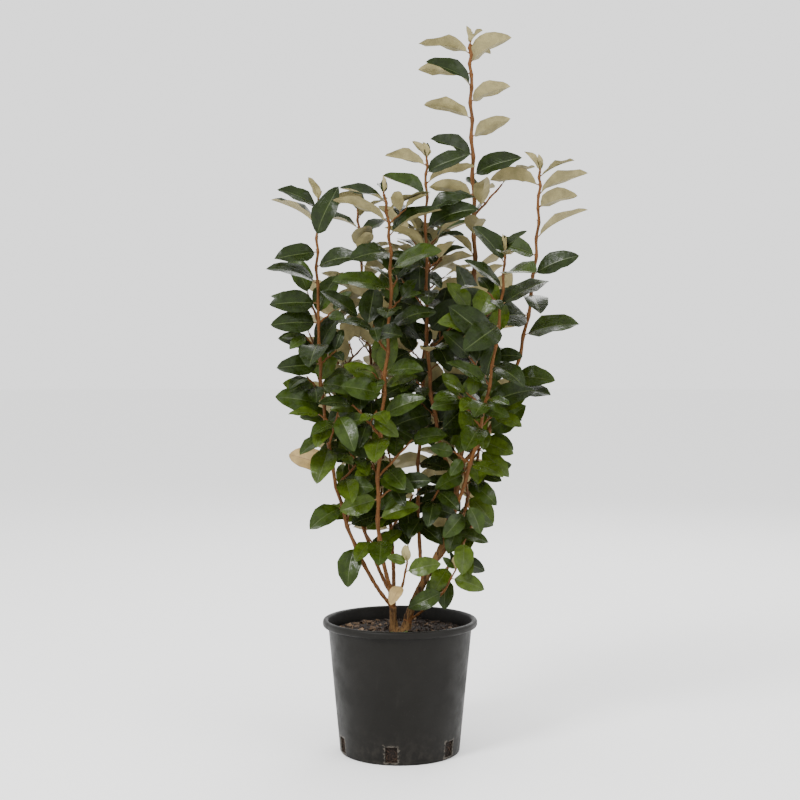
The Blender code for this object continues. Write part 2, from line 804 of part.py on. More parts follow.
def make_limbs(lines, collection, cutters, look):
    """Make the trunks and the bare lower bough of each stem, each coped to the others."""
    crown = bpy.data.objects["root_crown"]
    built = []
    for trunk in TRUNKS:
        points, radii = limb_points(lines[trunk.name], 0.0, 1.0)
        limb = tube(trunk.name, points, radii, LIMB_SIDES, collection)
        tall = evaluated_mesh(crown)
        for corner in tall.vertices:
            corner.co.z += GAP if corner.co.z > COMPOST_TOP + ROOT_HEIGHT / 2 else -ROOT_HEIGHT
        cutter = add_object("cutter", tall, cutters)
        combine(limb, "DIFFERENCE", cutter)
        bpy.data.objects.remove(cutter)
        keep_largest(limb.data)
        built.append((points, radii))
        limb.data.materials.append(look)
    for stem in STEMS:
        line = lines[stem.name]
        last = line.share_at(stem.foliage)
        points, radii = limb_points(line, 0.0, last)
        limb = tube("bough_" + stem.name, points, radii, LIMB_SIDES, collection)
        cope(limb, points, radii, built, cutters)
        limb.data.materials.append(look)
        built.append((points, radii))
    return built


# ---------------------------------------------------------------- foliage

def make_leaf(leaf, collection):
    """Make one leaf: a three-sided sphere drawn out to the leaf's sections."""
    mesh = bpy.data.meshes.new("leaf")
    shape = bmesh.new()
    rings = len(LEAF_SECTIONS) - 1
    bmesh.ops.create_uvsphere(shape, u_segments=3, v_segments=rings, radius=1)
    for corner in shape.verts:
        polar = math.acos(min(max(corner.co.z, -1), 1))
        section = LEAF_SECTIONS[round(polar / math.pi * rings)]
        side = round(math.atan2(corner.co.y, corner.co.x) / math.radians(120)) % 3
        if section[1]:
            corner.co = leaf.section(section)[side]
        else:
            corner.co = leaf.frame(section[0])[0]
    shape.to_mesh(mesh)
    shape.free()
    return add_object("leaf", mesh, collection)


def make_shoot(shoot, collection):
    """Make one side shoot: a four-sided tapering rod."""
    mesh = bpy.data.meshes.new("shoot")
    shape = bmesh.new()
    length = (shoot.tip - shoot.base).length
    bmesh.ops.create_cone(shape, cap_ends=True, segments=4, radius1=SHOOT_FOOT_RADIUS,
                          radius2=SHOOT_TIP_RADIUS, depth=length)
    turn = (shoot.tip - shoot.base).to_track_quat("Z", "Y")
    for corner in shape.verts:
        corner.co.z += length / 2
        corner.co = turn @ corner.co + shoot.base
    shape.to_mesh(mesh)
    shape.free()
    return add_object("shoot", mesh, collection)


def make_foliage(stem, nodes, shoots, leaves, boughs, collection, cutters, look):
    """Make a foliage mass: a leafy stem with its side shoots and leaves, as one solid."""
    points = [node.point for node in nodes]
    radii = [node.radius for node in nodes]
    mass = tube("foliage_" + stem.name, points, radii, STEM_SIDES, collection)
    cope(mass, points, radii, boughs, cutters)
    pieces = new_collection("pieces")
    for shoot in shoots:
        make_shoot(shoot, pieces)
    for leaf in leaves:
        make_leaf(leaf, pieces)
    combine(mass, "UNION", pieces)
    for piece in list(pieces.objects):
        bpy.data.objects.remove(piece)
    bpy.data.collections.remove(pieces)
    keep_largest(mass.data)
    mass.data.materials.clear()
    mass.data.materials.append(look)
    return mass


def main():
    """Build the potted shrub."""
    clear_scene()
    parts = new_collection("potted_elaeagnus")
    cutters = new_collection("cutters")
    make_pot(parts, cutters)
    make_compost(parts)
    bark = material("Bark", BARK_BROWN, 0.8)
    make_root_crown(parts, bark)
    lines, nodes, shoots, leaves = grow()
    boughs = make_limbs(lines, parts, cutters, bark)
    leafy = material("Leaves", LEAF_GREEN, 0.35)
    for stem in STEMS:
        make_foliage(stem, nodes[stem.name], shoots[stem.name], leaves[stem.name],
                     boughs, parts, cutters, leafy)
    bpy.data.collections.remove(cutters)


main()
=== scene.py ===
"""Potted elaeagnus: an evergreen shrub of several stems in a plastic nursery pot.

Units are metres and +Z is up. The origin is the centre of the pot's flat underside, and the
shrub's broad face looks to -Y.
"""

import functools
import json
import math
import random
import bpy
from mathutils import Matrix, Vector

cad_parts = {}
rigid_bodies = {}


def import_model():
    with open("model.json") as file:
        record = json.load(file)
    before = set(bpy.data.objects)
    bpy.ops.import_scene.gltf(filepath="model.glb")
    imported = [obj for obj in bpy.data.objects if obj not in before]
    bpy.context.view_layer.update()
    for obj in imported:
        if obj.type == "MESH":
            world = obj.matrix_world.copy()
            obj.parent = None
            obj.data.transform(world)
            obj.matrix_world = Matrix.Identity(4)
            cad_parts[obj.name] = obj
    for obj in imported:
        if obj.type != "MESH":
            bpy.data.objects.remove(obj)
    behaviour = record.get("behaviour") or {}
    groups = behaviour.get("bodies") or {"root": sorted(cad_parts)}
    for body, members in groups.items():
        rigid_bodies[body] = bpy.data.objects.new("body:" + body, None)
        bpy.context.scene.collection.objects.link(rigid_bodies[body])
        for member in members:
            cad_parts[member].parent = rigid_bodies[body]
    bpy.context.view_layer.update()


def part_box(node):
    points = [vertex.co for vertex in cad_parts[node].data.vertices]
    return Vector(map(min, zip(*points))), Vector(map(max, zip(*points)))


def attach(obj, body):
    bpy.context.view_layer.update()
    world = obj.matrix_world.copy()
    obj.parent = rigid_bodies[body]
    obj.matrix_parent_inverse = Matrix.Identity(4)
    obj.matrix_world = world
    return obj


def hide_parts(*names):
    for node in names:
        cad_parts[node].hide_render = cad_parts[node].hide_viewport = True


bl_info = {
    "name": "Potted Elaeagnus",
    "version": (1, 0, 0),
    "blender": (4, 5, 0),
    "location": "View3D > Sidebar > Shrub",
    "description": "Builds an evergreen shrub of several stems in a plastic nursery pot",
    "category": "Add Mesh",
}

from typing import NamedTuple

import bmesh
import bpy
import numpy as np
from bpy.props import FloatProperty, FloatVectorProperty, IntProperty, PointerProperty
from mathutils import Matrix, Vector, noise
from mathutils.bvhtree import BVHTree
from mathutils.kdtree import KDTree

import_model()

# ---------------------------------------------------------------- the shrub's habit

GAP = 0.0003                 # clearance between solids that meet
SEED = 122                   # starts the growth rule

# The pot: a thin tapered tub with a rolled lip and drainage slots round its foot
POT_HEIGHT = 0.188
POT_RIM_RADIUS = 0.110
POT_SHOULDER_RADIUS = 0.1022
POT_FOOT_RADIUS = 0.0855
POT_MOUTH_RADIUS = 0.102
POT_WALL = 0.002
POT_FLOOR = 0.003
POT_FOOT_ROUND = 0.0025
POT_FACETS = 36
LIP_HEIGHT = 0.0105
LIP_ROUND = 0.0038
DRAIN_COUNT = 6
DRAIN_FIRST = -158           # degrees anticlockwise from +X
DRAIN_WIDTH = 0.017
DRAIN_HEIGHT = 0.022
DRAIN_SILL = 0.004

COMPOST_TOP = 0.169

# The root crown: a low flared mound that both trunks rise from, half widths in X and Y
ROOT_HEIGHT = 0.006
ROOT_FOOT = (0.0185, 0.0120)

# Stems
STEM_TAPER = 0.58            # a stem's radius at its tip, as a share of that at its foot
STEM_SIDES = 4
STEM_STEP = 0.030            # length of one straight piece of a limb
INTERNODE = 0.029            # distance between two leaves on a stem
TIP_CROWDING = 0.75          # share by which that distance shrinks at a stem's tip
NODE_BEND = 0.0012           # how far a stem zigzags away from each leaf
PHYLLOTAXIS = 144            # degrees from one leaf to the next
AZIMUTH_SPREAD = 16
SIDES = {"R": 0, "B": 90, "L": 180, "F": 270}

# Side shoots
SHOOT_LENGTH = 0.075
SHOOT_PITCH = 48
SHOOT_TURN = 35
SHOOT_FOOT_RADIUS = 0.0017
SHOOT_TIP_RADIUS = 0.0012
SHOOT_SIZES = (0.75, 1.15)   # shortest and longest, as shares of that length
SHOOT_SHORTENING = 0.35      # share by which shoots grow shorter towards a stem's tip
SHOOT_CLEAR_OF_STEM = 0.15   # share of a shoot that may touch its own stem
SHOOT_LEAVES = 4
SHOOT_LEAF_SIZES = (0.68, 0.98)
SHOOT_LEAF_SPREAD = 10
SHOOT_LAST_LEAF = 0.97       # share of a shoot at which its last leaf springs
SHOOT_SPREAD = 62            # degrees between the shoot and the leaves on its sides
SHOOT_INTERNODE = 0.24       # distance between its leaves, as a share of its length

# Leaves
LEAF_LENGTH_LOW = 0.056      # at the foot of the crown
LEAF_LENGTH_HIGH = 0.076     # and at its top
LEAF_SIZES = (0.86, 1.14)    # smallest and largest, as shares of the length
LEAF_WIDTH = 0.45            # greatest width, as a share of the length
YOUNG_SIZE = 0.50            # size of a stem's last leaf, as a share of a full one
YOUNG_GROWTH = 18            # how fast the leaves below it come to full size
LEAF_PITCH_LOW = 16          # degrees above the level, at the foot of the crown
LEAF_PITCH_HIGH = 44         # and at its top
HABIT_HEIGHTS = (0.24, 0.56)  # low leaves change to high ones between these heights
LEAF_PITCH_SPREAD = 8
LEAF_PITCH_TIP = 25          # how much steeper the last leaf of a stem is
LEAF_ARCH = 36               # degrees that a leaf bends down along its length
LEAF_ARCH_SPREAD = 12
LEAF_TILT_LOW = 50           # degrees that low leaves tip their upper sides outwards
LEAF_TILT_HIGH = -26         # and high ones, which show their undersides
LEAF_TILT_SPREAD = 22
LEAF_TILT_HEIGHTS = (0.62, 0.76)
LEAF_SPLAY = 0.15            # how far that turn follows the crown's roundness
LEAF_FOLD = 0.20             # rise of a leaf's edges, as a share of its half width
LEAF_FOLDS = (0.6, 1.3)      # flattest and deepest, as shares of that rise
LEAF_PITCH_STEPS = (0, 10, -10, 20)
LEAF_TURN_STEPS = (0, 20, -20, 40, -40)
LEAF_CLEARANCE = 0.0013      # kept free above and below every leaf
# Sections of a leaf: share of its length, share of its half width, depth of its keel
LEAF_SECTIONS = (
    (-0.012, 0.00, 0.0),
    (0.070, 0.08, 0.0014),
    (0.400, 1.00, 0.0008),
    (0.740, 0.76, 0.0006),
    (1.000, 0.00, 0.0),
)
BLADE_SECTIONS = ((0.125, 0.24, 0.0013),) + LEAF_SECTIONS[2:]

# Finer twigs: spurs from the stems' nodes and from the side shoots
SPUR_LENGTH = 0.030
SPUR_SIZES = (0.7, 1.35)
SPUR_PITCH = 38
SPUR_TURN = 25
SPUR_RADII = (0.0013, 0.0009)
SPUR_LEAVES = 3
SPUR_LEAF_SIZES = (0.46, 0.78)
SPUR_SIDES = (115, -115)     # degrees from a stem's leaf to the spurs beside it
SPURS_FROM = 0.34            # height below which no spurs grow
SPURS_ABOVE = 0.03           # how much higher than the side shoots they grow
SPURS_ON_SHOOT = ((0.40, 75), (0.62, -75))
TIP_LEAVES = 3               # unfolding leaves at each stem's tip
TIP_LEAF_SIZES = (0.20, 0.38)
TIP_PITCHES = (58, 80)

# The space that the crown fills: a box that narrows towards its foot
CROWN_LOW = Vector((-0.196, -0.215, 0.176))
CROWN_HIGH = Vector((0.282, 0.215, 1.034))
CROWN_MIDDLE = (0.040, 0.020)
CROWN_FOOT_LOW = Vector((-0.100, -0.110))
CROWN_FOOT_HIGH = Vector((0.125, 0.110))
CROWN_FOOT_LEVEL = 0.240
CROWN_FLARE = 0.36           # widening on each side for each metre of height
CROWN_BACK = 0.048           # leaves behind this face backwards
# Windows right through the crown from front to back: x, z and radius
CROWN_WINDOWS = (
    (-0.060, 0.575, 0.026),
    (-0.085, 0.725, 0.030),
    (0.150, 0.765, 0.042),
    (0.155, 0.580, 0.018),
    (0.010, 0.425, 0.016),
    (-0.118, 0.360, 0.024),
    (-0.052, 0.258, 0.016),
    (0.112, 0.278, 0.020),
)


class Stem(NamedTuple):
    """A stem, by where it leaves its parent and how it runs to its tip.

    A lean is in degrees to the right and to the back. The bow says how far the first and
    the last lean carry, as shares of the span. The sides are those of its top leaves,
    upwards: Left, Right, Front, Back, or a dot where the growth rule decides. A small
    letter is a leaf that keeps its upper side outwards, however high it grows.
    """

    name: str
    parent: str
    fork: float
    tip: tuple
    lean: tuple
    tip_lean: tuple
    bow: tuple
    radius: float
    foliage: float = 0.0
    shoots_to: float = 0.0
    sides: str = ""


TRUNKS = (
    Stem("trunk_left", "", 0, (-0.013, -0.005, 0.232), (-5, -2), (-8, -6), (0.3, 0.3), 0.0057),
    Stem("trunk_right", "", 0, (0.081, 0.014, 0.388), (13, 2), (-3, 4), (0.35, 0.40), 0.0060),
)
TRUNK_FEET = {"trunk_left": (-0.0085, 0.0), "trunk_right": (0.0075, 0.001)}
TRUNK_TOP_RADIUS = {"trunk_left": 0.0046, "trunk_right": 0.0041}

STEMS = (
    Stem("front", "trunk_left", 0.232, (-0.022, -0.085, 0.780), (-22, -12), (-12, -4),
         (0.25, 0.30), 0.0031, 0.246, 0.72, "rlrflrlrLRl."),
    Stem("leader", "trunk_right", 0.388, (0.101, 0.030, 1.010), (12, 2), (0, 1),
         (0.33, 0.33), 0.0040, 0.435, 0.86, "LrlRLRlLRLR."),
    Stem("left", "trunk_left", 0.204, (-0.114, -0.035, 0.777), (-42, -4), (2, -2),
         (0.25, 0.40), 0.0030, 0.240, 0.66, ".lflllrlrLRl."),
    Stem("right", "leader", 0.404, (0.198, -0.004, 0.823), (50, -3), (1, 0),
         (0.25, 0.45), 0.0033, 0.430, 0.50, "rrrlr.frlRl.RLR."),
    Stem("centre", "trunk_right", 0.376, (0.037, -0.040, 0.834), (-28, -8), (0, -2),
         (0.25, 0.40), 0.0031, 0.422, 0.76, "fLLrrlRrL."),
    Stem("inner", "trunk_right", 0.238, (0.045, 0.060, 0.735), (-8, 12), (3, 4),
         (0.25, 0.40), 0.0030, 0.290, 0.70),
    Stem("back", "trunk_left", 0.192, (-0.064, 0.120, 0.783), (4, 36), (-3, 3),
         (0.25, 0.40), 0.0031, 0.280, 0.70),
    Stem("back_left", "trunk_left", 0.222, (-0.100, 0.085, 0.660), (-32, 24), (-3, 3),
         (0.25, 0.40), 0.0029, 0.285, 0.58),
    Stem("back_right", "trunk_right", 0.300, (0.118, 0.120, 0.680), (10, 40), (4, 3),
         (0.25, 0.40), 0.0028, 0.345, 0.60),
    Stem("front_right", "trunk_right", 0.335, (0.142, -0.095, 0.700), (20, -42), (3, -2),
         (0.25, 0.40), 0.0028, 0.385, 0.62),
    Stem("low_right", "trunk_right", 0.262, (0.128, 0.070, 0.540), (48, 12), (4, 8),
         (0.25, 0.35), 0.0026, 0.282, 0.45),
    Stem("low_back", "trunk_right", 0.215, (0.110, 0.055, 0.330), (60, 20), (15, 10),
         (0.30, 0.30), 0.0023, 0.228, 0.32),
    Stem("low_middle", "trunk_left", 0.206, (0.010, -0.060, 0.275), (22, -48), (5, -10),
         (0.30, 0.30), 0.0022, 0.222),
    Stem("low_front", "trunk_right", 0.184, (0.078, -0.035, 0.262), (62, -14), (20, -10),
         (0.30, 0.30), 0.0020, 0.192),
)


# ---------------------------------------------------------------- the growth rule

def leaning(lean):
    """Return the direction that leans this many degrees to the right and to the back."""
    right, back = (math.tan(math.radians(angle)) for angle in lean)
    return Vector((right, back, 1)).normalized()


def towards(azimuth, pitch):
    """Return the direction at an azimuth, anticlockwise from +X, and a pitch, in degrees."""
    azimuth = math.radians(azimuth)
    pitch = math.radians(pitch)
    level = math.cos(pitch)
    return Vector((math.cos(azimuth) * level, math.sin(azimuth) * level, math.sin(pitch)))


class Route:
    """A limb's centreline, a cubic Bezier curve, with its even taper."""

    def __init__(self, start, stem, tip_radius):
        tip = Vector(stem.tip)
        span = (tip - start).length
        after_start = start + leaning(stem.lean) * span * stem.bow[0]
        before_tip = tip - leaning(stem.tip_lean) * span * stem.bow[1]
        self.handles = (start, after_start, before_tip, tip)
        self.radii = (stem.radius, tip_radius)

    def at(self, share):
        """Return the point this share of the way along."""
        rest = 1 - share
        weights = (rest ** 3, 3 * rest ** 2 * share, 3 * rest * share ** 2, share ** 3)
        return sum((point * weight for point, weight in zip(self.handles, weights)), Vector())

    def radius(self, share):
        """Return the limb's radius this share of the way along."""
        foot, tip = self.radii
        return foot + (tip - foot) * share

    def share_at(self, height):
        """Return the share of the way along at which the limb reaches a height."""
        low, high = 0.0, 1.0
        while high - low > 1e-9:
            middle = (low + high) / 2
            if self.at(middle).z < height:
                low = middle
            else:
                high = middle
        return low

    def walk(self, first, last, spacing):
        """Return shares from first to last, spaced by a distance that may depend on progress."""
        fine = 400  # straight steps that stand for the curve
        shares = [first]
        walked = 0.0
        here = self.at(first)
        for index in range(1, fine + 1):
            progress = index / fine
            share = first + (last - first) * progress
            there = self.at(share)
            walked += (there - here).length
            here = there
            if walked >= spacing(progress):
                shares.append(share)
                walked = 0.0
        if walked < spacing(1.0) / 2 and len(shares) > 2:
            shares.pop()
        return shares + [last]


def routes():
    """Return the centreline of each trunk and stem by name."""
    found = {}
    crown_top = COMPOST_TOP + GAP + ROOT_HEIGHT
    for trunk in TRUNKS:
        start = Vector((*TRUNK_FEET[trunk.name], crown_top - ROOT_HEIGHT / 2))
        found[trunk.name] = Route(start, trunk, TRUNK_TOP_RADIUS[trunk.name])
    for stem in STEMS:
        parent = found[stem.parent]
        start = parent.at(parent.share_at(stem.fork))
        found[stem.name] = Route(start, stem, stem.radius * STEM_TAPER)
    return found


class Leaf(NamedTuple):
    """A leaf: where it springs from, its heading and upper side there, and its form."""

    base: Vector
    heading: Vector
    upper: Vector
    length: float
    arch: float
    fold: float

    def frame(self, share):
        """Return the midrib's place and upper side this share of the way along the leaf."""
        turn = self.arch * share
        ahead = self.heading * (math.sin(turn) / self.arch)
        down = self.upper * ((1 - math.cos(turn)) / self.arch)
        place = self.base + (ahead - down) * self.length
        upper = self.upper * math.cos(turn) + self.heading * math.sin(turn)
        return place, upper

    def section(self, section, margin=0.0):
        """Return a section's right edge, left edge and keel, and the middle of its top."""
        share, width, keel = section
        place, upper = self.frame(share)
        side = self.heading.cross(self.upper)
        half_width = width * LEAF_WIDTH * self.length / 2
        edges = place + upper * half_width * self.fold
        across = side * (half_width + margin)
        return (edges + across, edges - across, place - upper * (keel + margin),
                edges + upper * margin)


class Node(NamedTuple):
    """A place on a stem that a leaf springs from."""

    point: Vector
    radius: float
    azimuth: float
    progress: float
    shows_upper: bool


class Shoot(NamedTuple):
    """A straight side shoot, from the stem's centreline to its tip."""

    base: Vector
    tip: Vector
    radii: tuple


class Kind(NamedTuple):
    """How one kind of side shoot grows."""

    length: float
    sizes: tuple
    pitch: float
    turn: float
    radii: tuple
    leaves: int
    leaf_sizes: tuple


SIDE_SHOOT = Kind(SHOOT_LENGTH, SHOOT_SIZES, SHOOT_PITCH, SHOOT_TURN,
                  (SHOOT_FOOT_RADIUS, SHOOT_TIP_RADIUS), SHOOT_LEAVES, SHOOT_LEAF_SIZES)
SPUR = Kind(SPUR_LENGTH, SPUR_SIZES, SPUR_PITCH, SPUR_TURN, SPUR_RADII, SPUR_LEAVES,
            SPUR_LEAF_SIZES)


class Crowd:
    """All that stands in the crown so far, so that nothing new touches it."""

    def __init__(self):
        self.members = []

    @staticmethod
    def wrap(points, faces):
        """Return the middle, reach and search tree of a closed shape."""
        middle = sum(points, Vector()) / len(points)
        reach = max((point - middle).length for point in points)
        return middle, reach, BVHTree.FromPolygons(points, faces)

    def add(self, shape):
        """Take in a shape."""
        self.members.append(shape)

    def is_free(self, shape):
        """Tell whether a shape touches nothing that is already there."""
        middle, reach, tree = shape
        for other_middle, other_reach, other_tree in self.members:
            if (middle - other_middle).length > reach + other_reach:
                continue
            if tree.overlap(other_tree):
                return False
        return True


def tube_shape(points, radii, sides=6):
    """Return the wrapped shape of a tube through some points."""
    corners = []
    faces = []
    for index, (point, radius) in enumerate(zip(points, radii)):
        ahead = points[min(index + 1, len(points) - 1)] - points[max(index - 1, 0)]
        first = ahead.orthogonal().normalized()
        second = ahead.normalized().cross(first)
        for side in range(sides):
            angle = 2 * math.pi * side / sides
            corners.append(point + (first * math.cos(angle) + second * math.sin(angle)) * radius)
        if index:
            start = (index - 1) * sides
            for side in range(sides):
                after = (side + 1) % sides
                faces.append((start + side, start + after, start + sides + after,
                              start + sides + side))
    return Crowd.wrap(corners, faces)


def leaf_shape(leaf):
    """Return the wrapped shape of a leaf's blade, thickened by the clearance."""
    corners = []
    faces = []
    for index, section in enumerate(BLADE_SECTIONS):
        right, left, keel, top = leaf.section(section, LEAF_CLEARANCE)
        corners += [right, top, left, keel]
        if index:
            start = (index - 1) * 4
            for side in range(4):
                after = (side + 1) % 4
                faces.append((start + side, start + after, start + 4 + after, start + 4 + side))
    return Crowd.wrap(corners, faces)


def in_crown(leaf):
    """Tell whether a leaf keeps to the crown's space and out of its windows."""
    for share in (0.4, 0.7, 1.0):
        place = leaf.frame(share)[0]
        if any(not low <= value <= high for low, value, high in zip(CROWN_LOW, place, CROWN_HIGH)):
            return False
        flare = max(place.z - CROWN_FOOT_LEVEL, 0) * CROWN_FLARE
        if any(not low - flare <= value <= high + flare
               for low, value, high in zip(CROWN_FOOT_LOW, place.xy, CROWN_FOOT_HIGH)):
            return False
        for x, z, radius in CROWN_WINDOWS:
            if math.hypot(place.x - x, place.z - z) < radius:
                return False
    return True


def leaf_tilt(base, spread, shows_upper):
    """Return the turn that tips a leaf: low ones outwards, high ones back, more or less."""
    outwards = Vector((base.x - CROWN_MIDDLE[0], base.y - CROWN_MIDDLE[1], 0)).normalized()
    broad = Vector((0, 1 if base.y > CROWN_BACK else -1, 0))
    facing = (outwards * LEAF_SPLAY + broad).normalized()
    share = 0.0 if shows_upper else between(LEAF_TILT_HEIGHTS, base.z)
    tilt = LEAF_TILT_LOW + (LEAF_TILT_HIGH - LEAF_TILT_LOW) * share + spread * LEAF_TILT_SPREAD
    return Matrix.Rotation(math.radians(tilt), 3, Vector((0, 0, 1)).cross(facing))


def place_leaf(crowd, rng, base, azimuth, pitch, length, shows_upper=False):
    """Return a leaf that finds room near this azimuth and pitch, or None."""
    arch = math.radians(LEAF_ARCH + rng.uniform(-LEAF_ARCH_SPREAD, LEAF_ARCH_SPREAD))
    fold = LEAF_FOLD * rng.uniform(*LEAF_FOLDS)
    tilt = leaf_tilt(base, rng.uniform(-1, 1), shows_upper)
    for pitch_step in LEAF_PITCH_STEPS:
        for turn in LEAF_TURN_STEPS:
            heading = tilt @ towards(azimuth + turn, pitch + pitch_step)
            upper = tilt @ towards(azimuth + turn, pitch + pitch_step + 90)
            leaf = Leaf(base, heading, upper, length, arch, fold)
            shape = leaf_shape(leaf)
            if in_crown(leaf) and crowd.is_free(shape):
                crowd.add(shape)
                return leaf
    return None


def between(limits, value):
    """Return how far a value lies between two others, from 0 to 1."""
    low, high = limits
    return min(max((value - low) / (high - low), 0.0), 1.0)


def leaf_pitch(height):
    """Return a leaf's pitch at a height: low leaves lie level, high ones reach up."""
    return LEAF_PITCH_LOW + (LEAF_PITCH_HIGH - LEAF_PITCH_LOW) * between(HABIT_HEIGHTS, height)


def leaf_length(height):
    """Return a full leaf's length at a height: low leaves are smaller."""
    share = between(HABIT_HEIGHTS, height)
    return LEAF_LENGTH_LOW + (LEAF_LENGTH_HIGH - LEAF_LENGTH_LOW) * share


def grow_shoot(crowd, rng, base, azimuth, progress, kind):
    """Return a side shoot and its leaves, or None and no leaves where there is no room."""
    length = kind.length * rng.uniform(*kind.sizes) * (1 - SHOOT_SHORTENING * progress)
    for turn in (kind.turn, -kind.turn, 0, 2 * kind.turn, -2 * kind.turn):
        ahead = towards(azimuth + turn, kind.pitch)
        tip = base + ahead * length
        points = [base + ahead * length * SHOOT_CLEAR_OF_STEM, tip]
        shape = tube_shape(points, [kind.radii[0] + LEAF_CLEARANCE] * 2, STEM_SIDES)
        if crowd.is_free(shape):
            crowd.add(shape)
            break
    else:
        return None, []
    leaves = []
    for index in range(kind.leaves):
        spread = SHOOT_SPREAD * (-1) ** index if index else 0
        size = leaf_length(base.z) * rng.uniform(*kind.leaf_sizes)
        pitch = leaf_pitch(base.z) + rng.uniform(-SHOOT_LEAF_SPREAD, SHOOT_LEAF_SPREAD)
        spring = base + ahead * length * (SHOOT_LAST_LEAF - SHOOT_INTERNODE * index)
        leaf = place_leaf(crowd, rng, spring, azimuth + turn + spread, pitch, size)
        if leaf:
            leaves.append(leaf)
        elif index == 0:
            crowd.members.pop()
            return None, []
    return Shoot(base, tip, kind.radii), leaves


def stem_nodes(stem, route, rng):
    """Return the nodes of a stem's leafy part."""
    first = route.share_at(stem.foliage)
    shares = route.walk(first, 1.0,
                        lambda progress: INTERNODE * (1 - TIP_CROWDING * progress ** 8))
    sides = stem.sides.rjust(len(shares), ".")[-len(shares):]
    turn = rng.uniform(0, 360)
    nodes = []
    for share, side in zip(shares, sides):
        turn += PHYLLOTAXIS
        azimuth = SIDES.get(side.upper(), turn) + rng.uniform(-AZIMUTH_SPREAD, AZIMUTH_SPREAD)
        bend = towards(azimuth, 0) * -NODE_BEND
        point = route.at(share)
        if 0 < len(nodes) < len(shares) - 1:
            point = point + bend
        progress = (share - first) / (1 - first)
        nodes.append(Node(point, route.radius(share), azimuth, progress, side.islower()))
    return nodes


def pot_shape():
    """Return the wrapped shape of the pot's outside, an open cone frustum."""
    corners = []
    faces = []
    for index in range(POT_FACETS):
        angle = 2 * math.pi * index / POT_FACETS
        flat = Vector((math.cos(angle), math.sin(angle), 0))
        corners += [flat * POT_FOOT_RADIUS, flat * POT_RIM_RADIUS + Vector((0, 0, POT_HEIGHT))]
        after = (index + 1) % POT_FACETS
        faces.append((2 * index, 2 * after, 2 * after + 1, 2 * index + 1))
    return Crowd.wrap(corners, faces)


class Shrub(NamedTuple):
    """All that has grown: centrelines and nodes by name, shoots, and leaves by spray."""

    lines: dict
    nodes: dict
    shoots: list
    sprays: list


@functools.cache
def shrub():
    """Grow the whole shrub: nodes, leaves on the stems, side shoots, and then finer twigs."""
    rng = random.Random(SEED)
    lines = routes()
    crowd = Crowd()
    for line in lines.values():
        shares = line.walk(0.0, 1.0, lambda progress: STEM_STEP)
        points = [line.at(share) for share in shares]
        crowd.add(tube_shape(points, [line.radius(share) + LEAF_CLEARANCE for share in shares]))
    crowd.add(pot_shape())
    nodes = {stem.name: stem_nodes(stem, lines[stem.name], rng) for stem in STEMS}
    shoots = []
    sprays = []
    # Leaves on the stems come first, so that they keep their sides, and shoots fill the rest
    for stem in STEMS:
        for node in nodes[stem.name][1:]:
            young = min(1.0, YOUNG_SIZE + YOUNG_GROWTH * (1 - node.progress))
            length = leaf_length(node.point.z) * rng.uniform(*LEAF_SIZES) * young
            pitch = leaf_pitch(node.point.z) + rng.uniform(-LEAF_PITCH_SPREAD, LEAF_PITCH_SPREAD)
            if node.progress == 1:
                pitch += LEAF_PITCH_TIP
            leaf = place_leaf(crowd, rng, node.point, node.azimuth, pitch, length,
                              node.shows_upper)
            if leaf:
                sprays.append([leaf])

    def branch(base, azimuth, progress, kind):
        shoot, leaves = grow_shoot(crowd, rng, base, azimuth, progress, kind)
        if leaves:
            shoots.append(shoot)
            sprays.append(leaves)

    for stem in STEMS:
        for node in nodes[stem.name][1::2]:
            if node.point.z <= stem.shoots_to:
                branch(node.point, node.azimuth, node.progress, SIDE_SHOOT)
    for shoot in list(shoots):
        ahead = shoot.tip - shoot.base
        azimuth = math.degrees(math.atan2(ahead.y, ahead.x))
        for share, side in SPURS_ON_SHOOT:
            if shoot.base.z > SPURS_FROM:
                branch(shoot.base + ahead * share, azimuth + side, 0, SPUR)
    for stem in STEMS:
        for node in nodes[stem.name][1:]:
            if SPURS_FROM < node.point.z <= stem.shoots_to + SPURS_ABOVE:
                for side in SPUR_SIDES:
                    branch(node.point, node.azimuth + side, node.progress, SPUR)
    for stem in STEMS:
        tip = nodes[stem.name][-1].point
        for _ in range(TIP_LEAVES):
            azimuth = rng.uniform(0, 360)
            pitch = rng.uniform(*TIP_PITCHES)
            size = LEAF_LENGTH_HIGH * rng.uniform(*TIP_LEAF_SIZES)
            sprays.append([Leaf(tip, towards(azimuth, pitch), towards(azimuth, pitch + 90), size,
                                math.radians(-LEAF_ARCH * 0.6), LEAF_FOLD * 2)])
    return Shrub(lines, nodes, shoots, sprays)


# ---------------------------------------------------------------- settings

def length(name, description, default):
    """Return a property that holds a length in metres."""
    return FloatProperty(name=name, description=description, default=default, min=0.0,
                         precision=4, unit="LENGTH")


def amount(name, description, default, highest=1.0):
    """Return a property that holds a plain number."""
    return FloatProperty(name=name, description=description, default=default, min=0.0,
                         max=highest)


def count(name, description, default):
    """Return a property that holds a number of pieces."""
    return IntProperty(name=name, description=description, default=default, min=1)


def colour(name, description, default):
    """Return a property that holds a colour."""
    return FloatVectorProperty(name=name, description=description, default=default, size=3,
                               min=0.0, max=1.0, subtype="COLOR")


class PotSettings(bpy.types.PropertyGroup):
    """Sizes and colours of the nursery pot."""

    rim_radius: length("Rim radius", "Radius outside the rolled lip",
                       (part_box("pot")[1].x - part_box("pot")[0].x) / 2)
    height: length("Height", "Height of the rolled lip's top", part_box("pot")[1].z)
    warp: length("Warp", "How far the thin wall strays from true", 0.0003)
    drain_wear: length("Slot wear", "Width of the worn margin round each drainage slot", 0.0026)
    plastic: colour("Plastic", "Charcoal of the moulded plastic", (0.0050, 0.0044, 0.0034))
    dust: colour("Dust", "Dried compost rubbed into the plastic", (0.110, 0.096, 0.078))


